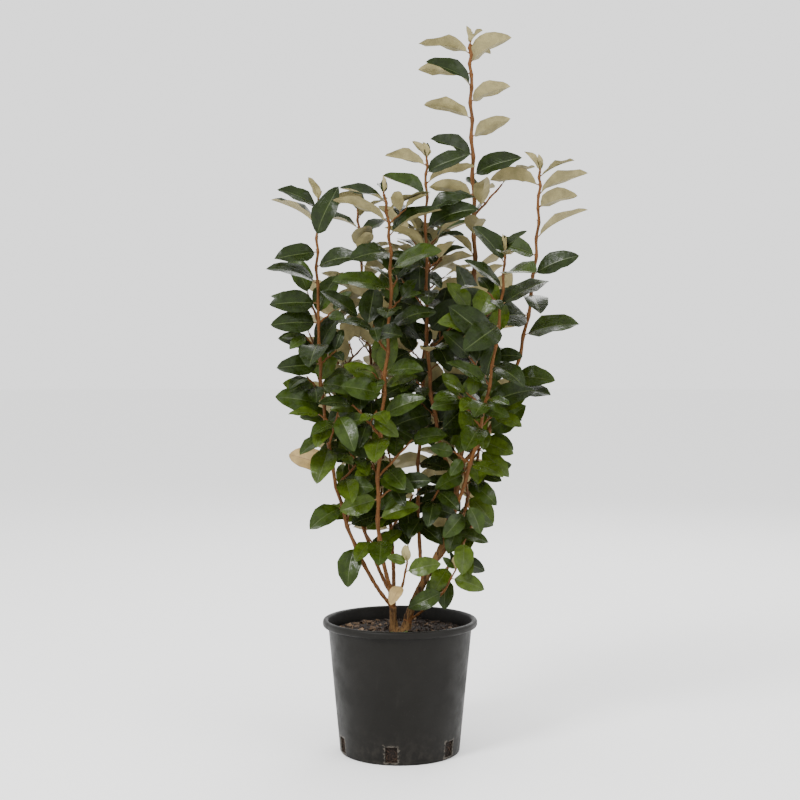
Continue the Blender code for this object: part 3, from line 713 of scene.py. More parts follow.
class CompostSettings(bpy.types.PropertyGroup):
    """Sizes and colours of the compost, its bark chips and the fine roots."""

    relief: length("Relief", "Height of the bumps on the compost", 0.0035)
    chips: count("Bark chips", "Number of bark chips on the compost", 620)
    chip_length: length("Chip length", "Length of a middling bark chip", 0.0062)
    roots: count("Fine roots", "Number of root strands behind each drainage slot", 11)
    soil: colour("Compost", "Moist compost", (0.0085, 0.0055, 0.0038))
    soil_light: colour("Compost crumbs", "Drier crumbs in the compost", (0.034, 0.020, 0.012))
    chip_dark: colour("Dark chips", "Weathered bark", (0.026, 0.015, 0.009))
    chip_tan: colour("Tan chips", "Freshly split bark", (0.165, 0.105, 0.060))
    root: colour("Roots", "Fine roots", (0.040, 0.021, 0.010))
    moss: colour("Moss", "Moss at the foot of the trunks", (0.075, 0.105, 0.022))


class WoodSettings(bpy.types.PropertyGroup):
    """Sizes and colours of the trunks, boughs, stems and twigs."""

    voxel: length("Detail", "Size of the bark's smallest facets", 0.0008)
    relief: length("Bark relief", "Depth of the furrows in old bark", 0.0013)
    node_swelling: amount("Node swelling", "How much a stem thickens at each leaf", 0.28)
    old: colour("Old bark", "Tan bark of the trunks", (0.118, 0.064, 0.024))
    furrow: colour("Furrows", "Shaded furrows of the bark", (0.020, 0.009, 0.004))
    young: colour("Young bark", "Rusty bark of this year's stems", (0.102, 0.040, 0.010))
    scurf: colour("Scurf", "Pale scales on young stems and buds", (0.25, 0.125, 0.042))


class LeafSettings(bpy.types.PropertyGroup):
    """Form and colours of the leaves."""

    wave: amount("Wave", "Rise and fall of a leaf's margin, as a share of its length", 0.026)
    camber: amount("Camber", "Bulge of each half blade, as a share of its length", 0.012)
    twist: amount("Twist", "Greatest turn of a leaf's tip, in degrees", 16.0, 90.0)
    # Deep and bright greens are dealt out partly as painted shade inside the crown and painted
    # light at its outside
    deep: colour("Deep green", "Upper side of leaves in shade", (0.0095, 0.0170, 0.0018))
    middle: colour("Middle green", "Upper side of most leaves", (0.0190, 0.0335, 0.0028))
    fresh: colour("Fresh green", "Upper side of the brightest leaves", (0.0350, 0.0560, 0.0042))
    under: colour("Underside", "Silvery scales under a leaf", (0.275, 0.237, 0.104))
    speck: colour("Specks", "Brown scales among the silver", (0.150, 0.105, 0.050))
    rib: colour("Midrib", "Midrib on the upper side", (0.044, 0.062, 0.013))
    stalk: colour("Stalk", "Leaf stalks", (0.150, 0.085, 0.038))
    dry: colour("Dry leaf", "Both sides of a withered leaf", (0.34, 0.238, 0.092))


class StageSettings(bpy.types.PropertyGroup):
    """The floor, the lights and the camera."""

    floor: colour("Floor", "Plain pale floor", (0.95, 0.95, 0.945))
    distance: length("Camera distance", "From the pot's axis to the camera", 1.95)
    height: length("Camera height", "Above the floor", 0.54)
    lens: amount("Lens", "Focal length in millimetres", 61.72, 300.0)
    dip: amount("Dip", "Degrees that the camera looks down", 1.2, 90.0)
    daylight: amount("Daylight", "Strength of the even light all round", 1.7, 10.0)


SETTINGS = {
    "shrub_pot": PotSettings,
    "shrub_compost": CompostSettings,
    "shrub_wood": WoodSettings,
    "shrub_leaves": LeafSettings,
    "shrub_stage": StageSettings,
}


# ---------------------------------------------------------------- modelling helpers

LIMBS = ["root_crown", *(trunk.name for trunk in TRUNKS), *("bough_" + stem.name for stem in STEMS)]
MASSES = ["foliage_" + stem.name for stem in STEMS]
WELD = 0.00001               # points of a mesh that lie closer than this become one


def deselect():
    """Leave edit mode and deselect everything."""
    if bpy.context.mode != "OBJECT":
        bpy.ops.object.mode_set(mode="OBJECT")
    bpy.ops.object.select_all(action="DESELECT")


def pick(*items):
    """Select these objects alone, the first as the active one."""
    deselect()
    for item in items:
        item.select_set(True)
    bpy.context.view_layer.objects.active = items[0]


def apply(item, modifier):
    """Apply a modifier of an object."""
    pick(item)
    bpy.ops.object.modifier_apply(modifier=modifier.name)


def join(name, items):
    """Join objects into one under a new name."""
    pick(*items)
    bpy.ops.object.join()
    joined = bpy.context.object
    joined.name = name
    return joined


def edit():
    """Go into edit mode with the whole of the active mesh selected."""
    bpy.ops.object.mode_set(mode="EDIT")
    bpy.ops.mesh.select_all(action="SELECT")


def close_up():
    """Merge the doubles of the mesh in edit mode, turn its faces outwards and leave edit mode."""
    bpy.ops.mesh.select_all(action="SELECT")
    bpy.ops.mesh.remove_doubles(threshold=WELD)
    bpy.ops.mesh.normals_make_consistent(inside=False)
    bpy.ops.object.mode_set(mode="OBJECT")


def finish_piece(item, crisp, looks, slot, *nodes):
    """Give a finished piece its materials and its body, and hide the solids that it stands for.

    It is shaded smooth, and edges sharper than so many degrees are left crisp.
    """
    pick(item)
    bpy.ops.object.shade_smooth_by_angle(angle=math.radians(crisp))
    bpy.ops.object.transform_apply(location=True, rotation=True, scale=True)
    for look in looks:
        item.data.materials.append(look)
    item.data.name = item.name
    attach(item, "root")
    if nodes:
        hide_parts(*nodes)


def spun(name, profile, steps):
    """Draw a profile of radii and heights and spin it round the Z axis into a closed shape."""
    deselect()
    bpy.ops.mesh.primitive_plane_add(size=0.01)
    item = bpy.context.object
    item.name = name
    edit()
    bpy.ops.mesh.merge(type="CENTER")
    bpy.ops.transform.translate(value=(profile[0][0], 0, profile[0][1]))
    for (radius, height), (next_radius, next_height) in zip(profile, profile[1:]):
        move = (next_radius - radius, 0, next_height - height)
        bpy.ops.mesh.extrude_region_move(TRANSFORM_OT_translate={"value": move})
    bpy.ops.mesh.select_all(action="SELECT")
    bpy.ops.mesh.spin(steps=steps, angle=math.tau, center=(0, 0, 0), axis=(0, 0, 1))
    close_up()
    return item


def limb(name, points, radii, sides):
    """Draw a curve through some points and give it a tapering round body."""
    deselect()
    bpy.ops.curve.primitive_bezier_curve_add()
    item = bpy.context.object
    item.name = name
    curve = item.data
    curve.splines.clear()
    curve.bevel_depth = 1.0
    curve.bevel_resolution = sides // 2 - 2
    curve.use_fill_caps = True
    spline = curve.splines.new("POLY")
    spline.points.add(len(points) - 1)
    for knot, point, radius in zip(spline.points, points, radii):
        knot.co = (*point, 1)
        knot.radius = radius
    bpy.ops.object.convert(target="MESH")
    edit()
    close_up()
    return bpy.context.object


def even(pieces):
    """Return the shares from 0 to 1 that cut a length into equal pieces."""
    return [index / pieces for index in range(pieces + 1)]


def smooth_line(points, radii, pieces):
    """Return more points and radii, on a smooth line through the given ones."""
    ends = [points[0] * 2 - points[1], *points, points[-1] * 2 - points[-2]]
    line = []
    widths = []
    for index in range(len(points) - 1):
        before, start, end, after = ends[index:index + 4]
        for share in even(pieces)[:-1]:
            line.append(0.5 * (2 * start + (end - before) * share
                               + (2 * before - 5 * start + 4 * end - after) * share ** 2
                               + (3 * start - before - 3 * end + after) * share ** 3))
            widths.append(radii[index] + (radii[index + 1] - radii[index]) * share)
    return line + [points[-1]], widths + [radii[-1]]


class Template(NamedTuple):
    """A small mesh as arrays, ready to be copied many times."""

    points: np.ndarray
    corners: np.ndarray
    sizes: np.ndarray
    looks: np.ndarray
    flat: np.ndarray


def template_of(item):
    """Take an object's mesh as a template and remove the object."""
    mesh = item.data
    points = np.empty(len(mesh.vertices) * 3)
    corners = np.empty(len(mesh.loops), dtype=np.int32)
    sizes = np.empty(len(mesh.polygons), dtype=np.int32)
    looks = np.empty(len(mesh.polygons), dtype=np.int32)
    mesh.vertices.foreach_get("co", points)
    mesh.loops.foreach_get("vertex_index", corners)
    mesh.polygons.foreach_get("loop_total", sizes)
    mesh.polygons.foreach_get("material_index", looks)
    flat = np.zeros((len(corners), 2))
    if mesh.uv_layers:
        mesh.uv_layers.active.data.foreach_get("uv", flat.ravel())
    bpy.data.objects.remove(item)
    return Template(points.reshape(-1, 3), corners, sizes, looks, flat)


def gather(name, copies):
    """Join copies of templates, each a template and its points in place, into one object."""
    offsets = np.cumsum([0] + [len(points) for _, points in copies])
    corners = np.concatenate([template.corners + offset
                              for (template, _), offset in zip(copies, offsets)])
    sizes = np.concatenate([template.sizes for template, _ in copies])
    mesh = bpy.data.meshes.new(name)
    mesh.vertices.add(int(offsets[-1]))
    mesh.vertices.foreach_set("co", np.concatenate([points for _, points in copies]).ravel())
    mesh.loops.add(len(corners))
    mesh.loops.foreach_set("vertex_index", corners.astype(np.int32))
    mesh.polygons.add(len(sizes))
    mesh.polygons.foreach_set("loop_start", (np.cumsum(sizes) - sizes).astype(np.int32))
    mesh.polygons.foreach_set("material_index",
                              np.concatenate([template.looks for template, _ in copies]))
    layer = mesh.uv_layers.new(name="blade")
    layer.data.foreach_set("uv", np.concatenate([template.flat for template, _ in copies]).ravel())
    mesh.update(calc_edges=True)
    mesh.validate()
    item = bpy.data.objects.new(name, mesh)
    bpy.context.collection.objects.link(item)
    return item


def placed(template, matrix):
    """Return a template with its points moved by a matrix."""
    turn = np.array(matrix.to_3x3())
    return template, template.points @ turn.T + np.array(matrix.translation)


def frame_to(ahead, upper):
    """Return the rotation that turns +Z to one direction and +Y near another."""
    across = upper.cross(ahead).normalized()
    return Matrix((across, ahead.cross(across).normalized(), ahead)).transposed().to_4x4()


# ---------------------------------------------------------------- materials

DUSTY_FOOT = 0.060           # height up to which the pot is dusty
VEINS = 11.0                 # veins to each side of a leaf's rib
VEIN_SLANT = 3.2             # how far they slant forward on their way to the margin
VEIN_WIDTH = 0.14            # half width of a vein, as a share of their spacing
# Places across a blade, from 0 on its rib to 0.5 on its edge, between which a tint changes
BLADE_MARGIN = (0.465, 0.495)
UNDER_RIB = (0.012, 0.040)


def times(tint, factor):
    """Return a colour made darker or lighter by a factor."""
    return tuple(value * factor for value in tint)


class Look:
    """A Principled material and short ways to add its nodes.

    A noise is given by its bumps to the metre, the layers of its detail and their strength,
    and a spread by the range that it takes in and the range that it gives.
    """

    def __init__(self, name, roughness, specular):
        self.material = bpy.data.materials.new(name)
        self.material.use_nodes = True
        self.tree = self.material.node_tree
        self.shader = self.tree.nodes["Principled BSDF"]
        self.shader.inputs["Roughness"].default_value = roughness
        self.shader.inputs["Specular IOR Level"].default_value = specular
        self.coordinates = self.add("TexCoord")

    def link(self, value, socket):
        """Set a socket to a number or colour, or link it to another node's output."""
        if isinstance(value, bpy.types.NodeSocket):
            self.tree.links.new(value, socket)
        elif hasattr(value, "__len__") and len(value) == 3 and socket.type == "RGBA":
            socket.default_value = (*value, 1)
        else:
            socket.default_value = value

    def add(self, kind, **sockets):
        """Add a node of a kind, with its sockets set or linked by their names."""
        made = self.tree.nodes.new("ShaderNode" + kind)
        for name, value in sockets.items():
            self.link(value, made.inputs[name.replace("_", " ")])
        return made

    def noise(self, scale, detail, roughness, stretch=None):
        """Return noise from 0 to 1 over the piece, with so many bumps to the metre."""
        where = self.coordinates.outputs["Object"]
        if stretch:
            where = self.add("Mapping", Vector=where, Scale=stretch).outputs["Vector"]
        made = self.add("TexNoise", Vector=where, Scale=scale, Detail=detail, Roughness=roughness)
        return made.outputs["Fac"]

    def cells(self, scale):
        """Return the distance to the nearest of scattered points."""
        where = self.coordinates.outputs["Object"]
        return self.add("TexVoronoi", Vector=where, Scale=scale).outputs["Distance"]

    def spread(self, value, low, high, start=0.0, end=1.0):
        """Return a value's range from low to high stretched from start to end, and clamped."""
        made = self.add("MapRange", Value=value, From_Min=low, From_Max=high, To_Min=start,
                        To_Max=end)
        made.interpolation_type = "SMOOTHSTEP"
        return made.outputs["Result"]

    def mix(self, share, first, second):
        """Return one colour blended into another."""
        made = self.add("Mix")
        made.data_type = "RGBA"
        self.link(share, made.inputs[0])
        self.link(first, made.inputs[6])
        self.link(second, made.inputs[7])
        return made.outputs[2]

    def calc(self, operation, first, second=0.0):
        """Return the result of a piece of arithmetic."""
        made = self.add("Math")
        made.operation = operation
        self.link(first, made.inputs[0])
        self.link(second, made.inputs[1])
        return made.outputs[0]

    def split(self, value):
        """Return the three parts of a vector."""
        return self.add("SeparateXYZ", Vector=value).outputs

    def attribute(self, name):
        """Return a number that the mesh holds at each point."""
        made = self.add("Attribute")
        made.attribute_name = name
        return made.outputs["Fac"]

    def colour(self, value):
        """Set the base colour."""
        self.link(value, self.shader.inputs["Base Color"])

    def roughness(self, value):
        """Set the roughness."""
        self.link(value, self.shader.inputs["Roughness"])

    def bump(self, height, depth, strength=1.0):
        """Raise the surface by a height from 0 to 1, of this depth in metres."""
        made = self.add("Bump", Strength=strength, Distance=depth, Height=height)
        self.link(made.outputs["Normal"], self.shader.inputs["Normal"])


def plastic_look(pot):
    """Return charcoal moulded plastic, scuffed, with dusty margins round the slots."""
    look = Look("Moulded plastic", 0.5, 0.15)
    x, y, z = look.split(look.coordinates.outputs["Object"])
    ragged = look.noise(260, 4.0, 0.7)
    # Place round the pot, counted from the nearest slot's middle
    around = look.calc("ARCTAN2", y, x)
    from_first = look.calc("SUBTRACT", around, math.radians(DRAIN_FIRST) - math.tau)
    spacing = math.tau / DRAIN_COUNT
    wrapped = look.calc("WRAP", from_first, -spacing / 2)
    wrapped.node.inputs[2].default_value = spacing / 2
    beside = look.calc("MULTIPLY", look.calc("ABSOLUTE", wrapped), POT_FOOT_RADIUS)
    beside = look.calc("SUBTRACT", beside, DRAIN_WIDTH / 2)
    above = look.calc("ABSOLUTE", look.calc("SUBTRACT", z, DRAIN_SILL + DRAIN_HEIGHT / 2))
    above = look.calc("SUBTRACT", above, DRAIN_HEIGHT / 2)
    away = look.calc("MAXIMUM", beside, above)
    away = look.calc("ADD", away, look.spread(ragged, 0.3, 0.7, -pot.drain_wear, pot.drain_wear))
    worn = look.spread(away, 0.0, pot.drain_wear, 0.55, 0.0)
    blotches = look.spread(look.noise(14, 5.0, 0.6), 0.35, 0.75, 0.0, 0.16)
    streaks = look.spread(look.noise(70, 3.0, 0.6, (1, 1, 0.22)), 0.60, 0.80, 0.0, 0.06)
    specks = look.spread(look.noise(520, 2.0, 0.5), 0.66, 0.76, 0.0, 0.16)
    paler = tuple(value * 2.1 + 0.003 for value in pot.plastic)
    base = look.mix(blotches, pot.plastic, paler)
    base = look.mix(look.calc("ADD", streaks, specks), base, times(pot.dust, 0.5))
    foot_dust = look.calc("MULTIPLY", look.spread(z, 0.0, DUSTY_FOOT, 0.22, 0.0),
                          look.spread(look.noise(90, 4.0, 0.65), 0.40, 0.70))
    base = look.mix(foot_dust, base, times(pot.dust, 0.45))
    look.colour(look.mix(worn, base, pot.dust))
    look.roughness(look.spread(look.noise(36, 4.0, 0.6), 0.3, 0.7, 0.40, 0.58))
    grain = look.calc("ADD", look.noise(900, 2.0, 0.5), look.calc("MULTIPLY", ragged, 0.5))
    look.bump(grain, 0.00012, 0.6)
    return look.material


def compost_look(compost):
    """Return moist crumbly compost."""
    look = Look("Crumbly compost", 0.9, 0.25)
    crumbs = look.noise(330, 6.0, 0.75)
    clods = look.noise(70, 4.0, 0.6)
    base = look.mix(look.spread(crumbs, 0.48, 0.68), compost.soil, compost.soil_light)
    base = look.mix(look.spread(clods, 0.35, 0.65, 0.0, 0.6), base, compost.soil)
    look.colour(base)
    look.bump(look.calc("ADD", crumbs, look.cells(260)), 0.0016)
    return look.material


def chip_look(name, tint, compost):
    """Return split bark with a grain along it."""
    look = Look(name, 0.85, 0.3)
    grain = look.noise(240, 5.0, 0.7, (1, 0.3, 1))
    stain = look.noise(95, 3.0, 0.6)
    base = look.mix(look.spread(grain, 0.35, 0.70), times(tint, 0.55), tint)
    look.colour(look.mix(look.spread(stain, 0.52, 0.72, 0.0, 0.75), base, compost.soil_light))
    look.bump(grain, 0.0005)
    return look.material


def moss_look(compost):
    """Return damp moss."""
    look = Look("Moss", 0.9, 0.2)
    tufts = look.noise(700, 4.0, 0.7)
    look.colour(look.mix(look.spread(tufts, 0.35, 0.7), times(compost.moss, 0.45), compost.moss))
    look.bump(tufts, 0.0008)
    return look.material


def bark_look(wood):
    """Return bark that goes from tan and furrowed on old wood to rusty on young stems."""
    look = Look("Bark", 0.72, 0.14)
    age = look.attribute("age")
    furrows = look.noise(210, 6.0, 0.65, (1, 1, 0.22))
    patches = look.noise(60, 4.0, 0.6, (1, 1, 0.5))
    scales = look.noise(620, 3.0, 0.6, (1, 1, 0.5))
    old = look.mix(look.spread(furrows, 0.38, 0.56), wood.furrow, wood.old)
    old = look.mix(look.spread(patches, 0.50, 0.72, 0.0, 0.55), old, times(wood.old, 0.6))
    young = look.mix(look.spread(scales, 0.52, 0.70, 0.0, 0.55), wood.young, wood.scurf)
    young = look.mix(look.spread(patches, 0.42, 0.68, 0.0, 0.55), young, times(wood.young, 0.45))
    look.colour(look.mix(age, young, old))
    look.roughness(look.spread(age, 0.0, 1.0, 0.55, 0.85))
    relief = look.calc("ADD", look.calc("MULTIPLY", furrows, age),
                       look.calc("MULTIPLY", scales, 0.35))
    look.bump(relief, 0.0009)
    return look.material


def across_blade(look):
    """Return how far a place on a leaf is from its rib, up to 0.5, and how far along it is."""
    across, along, _ = look.split(look.coordinates.outputs["UV"])
    return look.calc("ABSOLUTE", look.calc("SUBTRACT", across, 0.5)), along


def blade_look(name, green, leaves):
    """Return the glossy upper side of a leaf, faintly veined, with a pale margin."""
    look = Look(name, 0.30, 0.17)
    from_rib, along = across_blade(look)
    slant = look.calc("SUBTRACT", look.calc("MULTIPLY", along, VEINS),
                      look.calc("MULTIPLY", from_rib, VEIN_SLANT))
    vein = look.calc("ABSOLUTE", look.calc("SUBTRACT", look.calc("FRACT", slant), 0.5))
    veins = look.spread(vein, 0.0, VEIN_WIDTH, 1.0, 0.0)
    mottle = look.noise(85, 4.0, 0.6)
    base = look.mix(look.spread(mottle, 0.32, 0.70), times(green, 0.75), times(green, 1.30))
    base = look.mix(look.calc("MULTIPLY", veins, 0.10), base, leaves.rib)
    look.colour(look.mix(look.spread(from_rib, *BLADE_MARGIN, 0.0, 0.45), base, leaves.rib))
    look.roughness(look.spread(look.noise(110, 2.0, 0.5), 0.3, 0.7, 0.22, 0.38))
    puckers = look.calc("ADD", look.noise(115, 1.0, 0.4),
                        look.calc("MULTIPLY", look.noise(420, 1.0, 0.5), 0.06))
    relief = look.calc("SUBTRACT", puckers, look.calc("MULTIPLY", veins, 0.09))
    look.bump(relief, 0.0012, 0.8)
    return look.material


def under_look(name, silver, leaves):
    """Return the matt underside of a leaf, silvery with brown scales."""
    look = Look(name, 0.62, 0.3)
    scales = look.spread(look.noise(1300, 2.0, 0.5), 0.57, 0.64, 0.0, 0.75)
    cloud = look.noise(75, 3.0, 0.6)
    from_rib, _ = across_blade(look)
    base = look.mix(look.spread(cloud, 0.35, 0.7), times(silver, 0.72), silver)
    base = look.mix(look.spread(from_rib, *UNDER_RIB, 0.55, 0.0), base, leaves.speck)
    look.colour(look.mix(scales, base, leaves.speck))
    look.bump(look.noise(600, 3.0, 0.6), 0.0004, 0.7)
    return look.material


def plain_look(name, tint, roughness):
    """Return a fine material of one colour, with a slight mottle."""
    look = Look(name, roughness, 0.4)
    mottle = look.noise(260, 3.0, 0.6)
    look.colour(look.mix(look.spread(mottle, 0.35, 0.7), times(tint, 0.75), times(tint, 1.15)))
    return look.material


# ---------------------------------------------------------------- the pot

POT_STEPS = 144              # facets round the smooth shell
LIP_UNDERCUT = 0.0006        # how far the lip's underside starts inside its round
SLOT_CUTS = 5                # cuts across each side of a drainage slot
SLOT_RAGGED = 0.0007         # how far the slot's edges stray
WARP_ROUND = 1.6             # bends of the warped wall round the pot
WARP_UP = 9                  # and to the metre of its height


def arc(centre, radius, start, end, pieces):
    """Return points along an arc in a profile, from one angle in degrees to another."""
    angles = [math.radians(start + (end - start) * share) for share in even(pieces)]
    return [(centre[0] + radius * math.cos(angle), centre[1] + radius * math.sin(angle))
            for angle in angles]


def straight(start, end, pieces):
    """Return points on a straight line in a profile, without its end."""
    return [(start[0] + (end[0] - start[0]) * share, start[1] + (end[1] - start[1]) * share)
            for share in even(pieces)[:-1]]


def inner_radius(height):
    """Return the radius of the pot's inside at a height."""
    share = height / (POT_HEIGHT - LIP_HEIGHT)
    outer = POT_FOOT_RADIUS + (POT_SHOULDER_RADIUS - POT_FOOT_RADIUS) * share
    return outer - POT_WALL


def make_pot(pot):
    """Make the pot: a spun shell with a rolled lip, slightly warped, with its ragged slots."""
    under_lip = POT_HEIGHT - LIP_HEIGHT
    middle = pot.rim_radius - LIP_ROUND
    high = pot.height - LIP_ROUND
    inside_foot = (inner_radius(POT_FLOOR), POT_FLOOR)
    inside_top = (inner_radius(under_lip), under_lip)
    mouth = arc((POT_MOUTH_RADIUS + LIP_ROUND, high), LIP_ROUND, 180, 90, 5)
    outside_top = (POT_SHOULDER_RADIUS, under_lip)
    foot_middle = (POT_FOOT_RADIUS - POT_FOOT_ROUND, POT_FOOT_ROUND)
    foot = arc(foot_middle, POT_FOOT_ROUND, 0, -90, 6)
    profile = straight((0, POT_FLOOR), inside_foot, 10) + straight(inside_foot, inside_top, 30)
    profile += [inside_top] + mouth
    profile += arc((middle, high), LIP_ROUND, 90, 0, 7)
    profile += arc((middle, under_lip + LIP_ROUND), LIP_ROUND, 0, -90, 6)
    profile += straight((middle - LIP_UNDERCUT, under_lip), outside_top, 2)
    profile += straight(outside_top, foot[0], 44)
    profile += foot + [(0, 0)]
    item = spun("pot_shell", profile, POT_STEPS)
    rng = random.Random(SEED)
    for index in range(DRAIN_COUNT):
        angle = math.radians(DRAIN_FIRST + 360 * index / DRAIN_COUNT)
        deselect()
        place = (math.cos(angle) * POT_FOOT_RADIUS, math.sin(angle) * POT_FOOT_RADIUS,
                 DRAIN_SILL + DRAIN_HEIGHT / 2)
        bpy.ops.mesh.primitive_cube_add(size=1, location=place, rotation=(0, 0, angle),
                                        scale=(8 * POT_WALL, DRAIN_WIDTH, DRAIN_HEIGHT))
        cutter = bpy.context.object
        edit()
        bpy.ops.mesh.subdivide(number_cuts=SLOT_CUTS)
        bpy.ops.transform.vertex_random(offset=SLOT_RAGGED, seed=rng.randrange(1000))
        bpy.ops.object.mode_set(mode="OBJECT")
        cut = item.modifiers.new("Slot", "BOOLEAN")
        cut.operation = "DIFFERENCE"
        cut.solver = "EXACT"
        cut.object = cutter
        apply(item, cut)
        bpy.data.objects.remove(cutter)
    for corner in item.data.vertices:
        around = corner.co.normalized()
        bend = Vector((around.x * WARP_ROUND, around.y * WARP_ROUND, corner.co.z * WARP_UP))
        corner.co.xy += corner.co.xy.normalized() * noise.noise(bend) * pot.warp
    finish_piece(item, 38, [plastic_look(pot)], "pot_plastic", "pot")


# ---------------------------------------------------------------- compost, chips and roots

COMPOST_STEPS = 150          # facets round the filling
COMPOST_EDGE = 0.0005        # the filling keeps its shape nearer than this to its edges
MOUNDS = 26                  # broad bumps of the compost to the metre
MOUND_SHARE = 0.55           # their share in its relief, where crumbs have the rest
CRUMBS = 120
FADING = (0.9, 2.1, 4)       # fall, step and number of the finer layers of crumbs
SIDE_LUMPS = 150             # lumps to the metre down the filling's side
SIDE_LUMP_DEPTH = 0.0008     # how far the side stands back
SIDE_LUMP_RELIEF = 0.0007    # and how much that varies

CHIP_KINDS = 9
CHIP_WIDTHS = (0.40, 0.75)   # narrowest and broadest, as shares of a chip's length
CHIP_DEPTHS = (0.16, 0.34)
CHIP_CUTS = 3                # slanting cuts that shape a chip
CHIP_CUT_PITCH = 50
CHIP_CUT_PLACES = (0.24, 0.36)
CHIP_RAGGED = 0.035
CHIP_SIZES = (0.35, 0.5, 0.7, 1.0, 1.0, 1.5)
CHIP_SIZE_SPREAD = (0.8, 1.25)
CHIP_TIPPING = 0.45          # spread of a chip's tilt in radians
CHIP_LIFT = 0.10             # height of a chip's middle over the compost, as a share of its size
CHIP_EDGE = 0.006            # strip along the pot's wall that holds no middle of a chip
CHIP_CLEARING = 0.013        # nor does a patch of this radius round each trunk
PALE_CHIPS = 0.22            # share of pale chips
# More pale chips to the left are partly painted light, and the darker right is painted shade
LIT_LEFT_PALE_CHIPS = 0.9        # what is added to it at the left edge
TAN_CHIPS = 0.5              # share of the pale chips that are tan, where the others are brown

STRANDS_ACROSS = (-0.6, 0.6)  # where strands of fine root start, as shares of a slot's width
STRANDS_UP = (-0.1, 1.1)     # and of its height, from its sill
STRAND_KNOTS = 7             # points that a strand is drawn through
STRAND_STEP = 0.0035         # distance between them
STRAND_WANDER = 0.5          # spread of its turns in radians
STRAND_RADII = (0.0002, 0.00045)
STRAND_TIP = 0.4             # its tip's share of the radius
STRAND_DEPTHS = (0.0004, 0.0010)  # behind the inside of the pot's wall
STRAND_LEVELS = (POT_FLOOR + 0.001, 0.034)

MOSS_TUFTS = 70
MOSS_RAGGED = 0.16
MOSS_FLATTENING = 0.55
MOSS_ACROSS = (-0.014, 0.020)
MOSS_DEEP = (-0.026, -0.006)
MOSS_LIFT = 0.0004
MOSS_SIZES = (0.0014, 0.0036)


def compost_height(x, y):
    """Return the height of the compost's surface at a place, from -1 to 1."""
    broad = noise.noise(Vector((x * MOUNDS, y * MOUNDS, 3.1)))
    fine = noise.fractal(Vector((x * CRUMBS, y * CRUMBS, 7.7)), *FADING)
    return MOUND_SHARE * broad + (1 - MOUND_SHARE) * fine


def make_compost(compost):
    """Make the filling of the pot, crumbly on top and down its side."""
    foot = POT_FLOOR + GAP
    edge = (inner_radius(COMPOST_TOP) - 2 * GAP, COMPOST_TOP)
    side_foot = (inner_radius(foot) - 2 * GAP, foot)
    profile = straight((0, COMPOST_TOP), edge, 52) + straight(edge, side_foot, 60)
    profile += [side_foot, (0, foot)]
    item = spun("compost_fill", profile, COMPOST_STEPS)
    for corner in item.data.vertices:
        place = corner.co
        radius = place.xy.length
        if place.z > COMPOST_TOP - WELD and radius < edge[0] - COMPOST_EDGE:
            place.z += compost_height(place.x, place.y) * compost.relief
        elif place.z > foot + COMPOST_EDGE:
            lumps = noise.fractal(place * SIDE_LUMPS, *FADING)
            place.xy -= place.xy.normalized() * (SIDE_LUMP_DEPTH + SIDE_LUMP_RELIEF * lumps)
    finish_piece(item, 60, [compost_look(compost)], "compost", "compost")


def chip_templates(rng):
    """Model some bark chips: blocks cut at random angles and roughened."""
    made = []
    for _ in range(CHIP_KINDS):
        deselect()
        bpy.ops.mesh.primitive_cube_add(size=1)
        item = bpy.context.object
        item.scale = (1.0, rng.uniform(*CHIP_WIDTHS), rng.uniform(*CHIP_DEPTHS))
        bpy.ops.object.transform_apply(location=False, rotation=False, scale=True)
        edit()
        for _ in range(CHIP_CUTS):
            away = towards(rng.uniform(0, 360), rng.uniform(-CHIP_CUT_PITCH, CHIP_CUT_PITCH))
            bpy.ops.mesh.bisect(plane_co=away * rng.uniform(*CHIP_CUT_PLACES), plane_no=away,
                                use_fill=True, clear_outer=True)
            bpy.ops.mesh.select_all(action="SELECT")
        bpy.ops.mesh.subdivide(number_cuts=1)
        bpy.ops.transform.vertex_random(offset=CHIP_RAGGED, seed=rng.randrange(1000))
        close_up()
        made.append(template_of(item))
    return made


def near_trunk(x, y):
    """Return how far a place on the compost is from the nearest trunk's middle."""
    return min(math.hypot(x - foot_x, y - foot_y) for foot_x, foot_y in TRUNK_FEET.values())


def make_chips(compost):
    """Scatter bark chips and crumbs over the compost, in three colours."""
    rng = random.Random(SEED + 1)
    kinds = chip_templates(rng)
    reach = inner_radius(COMPOST_TOP) - CHIP_EDGE
    heaps = {"chips_dark": [], "chips_brown": [], "chips_tan": []}
    while sum(len(heap) for heap in heaps.values()) < compost.chips:
        radius = reach * math.sqrt(rng.random())
        angle = rng.uniform(0, math.tau)
        x, y = radius * math.cos(angle), radius * math.sin(angle)
        if near_trunk(x, y) < CHIP_CLEARING:
            continue
        size = compost.chip_length * rng.choice(CHIP_SIZES)
        size *= rng.uniform(*CHIP_SIZE_SPREAD)
        height = COMPOST_TOP + compost_height(x, y) * compost.relief + size * CHIP_LIFT
        turn = (Matrix.Rotation(rng.uniform(0, math.tau), 4, "Z")
                @ Matrix.Rotation(rng.gauss(0, CHIP_TIPPING), 4, "X")
                @ Matrix.Rotation(rng.gauss(0, CHIP_TIPPING), 4, "Y"))
        matrix = Matrix.Translation((x, y, height)) @ turn @ Matrix.Scale(size, 4)
        # Pale chips crowd to the left partly as painted light, leaving the right darker as painted
        # shade
        pale = PALE_CHIPS + LIT_LEFT_PALE_CHIPS * max(-x, 0.0) / reach
        draw = rng.random()
        if draw < TAN_CHIPS * pale:
            heap = "chips_tan"
        else:
            heap = "chips_brown" if draw < pale else "chips_dark"
        heaps[heap].append(placed(rng.choice(kinds), matrix))
    brown = tuple((a + b) / 2 for a, b in zip(compost.chip_dark, compost.chip_tan))
    tints = {"chips_dark": compost.chip_dark, "chips_brown": brown, "chips_tan": compost.chip_tan}
    for name, copies in heaps.items():
        look = chip_look(name, tints[name], compost)
        finish_piece(gather(name, copies), 30, [look], "compost")


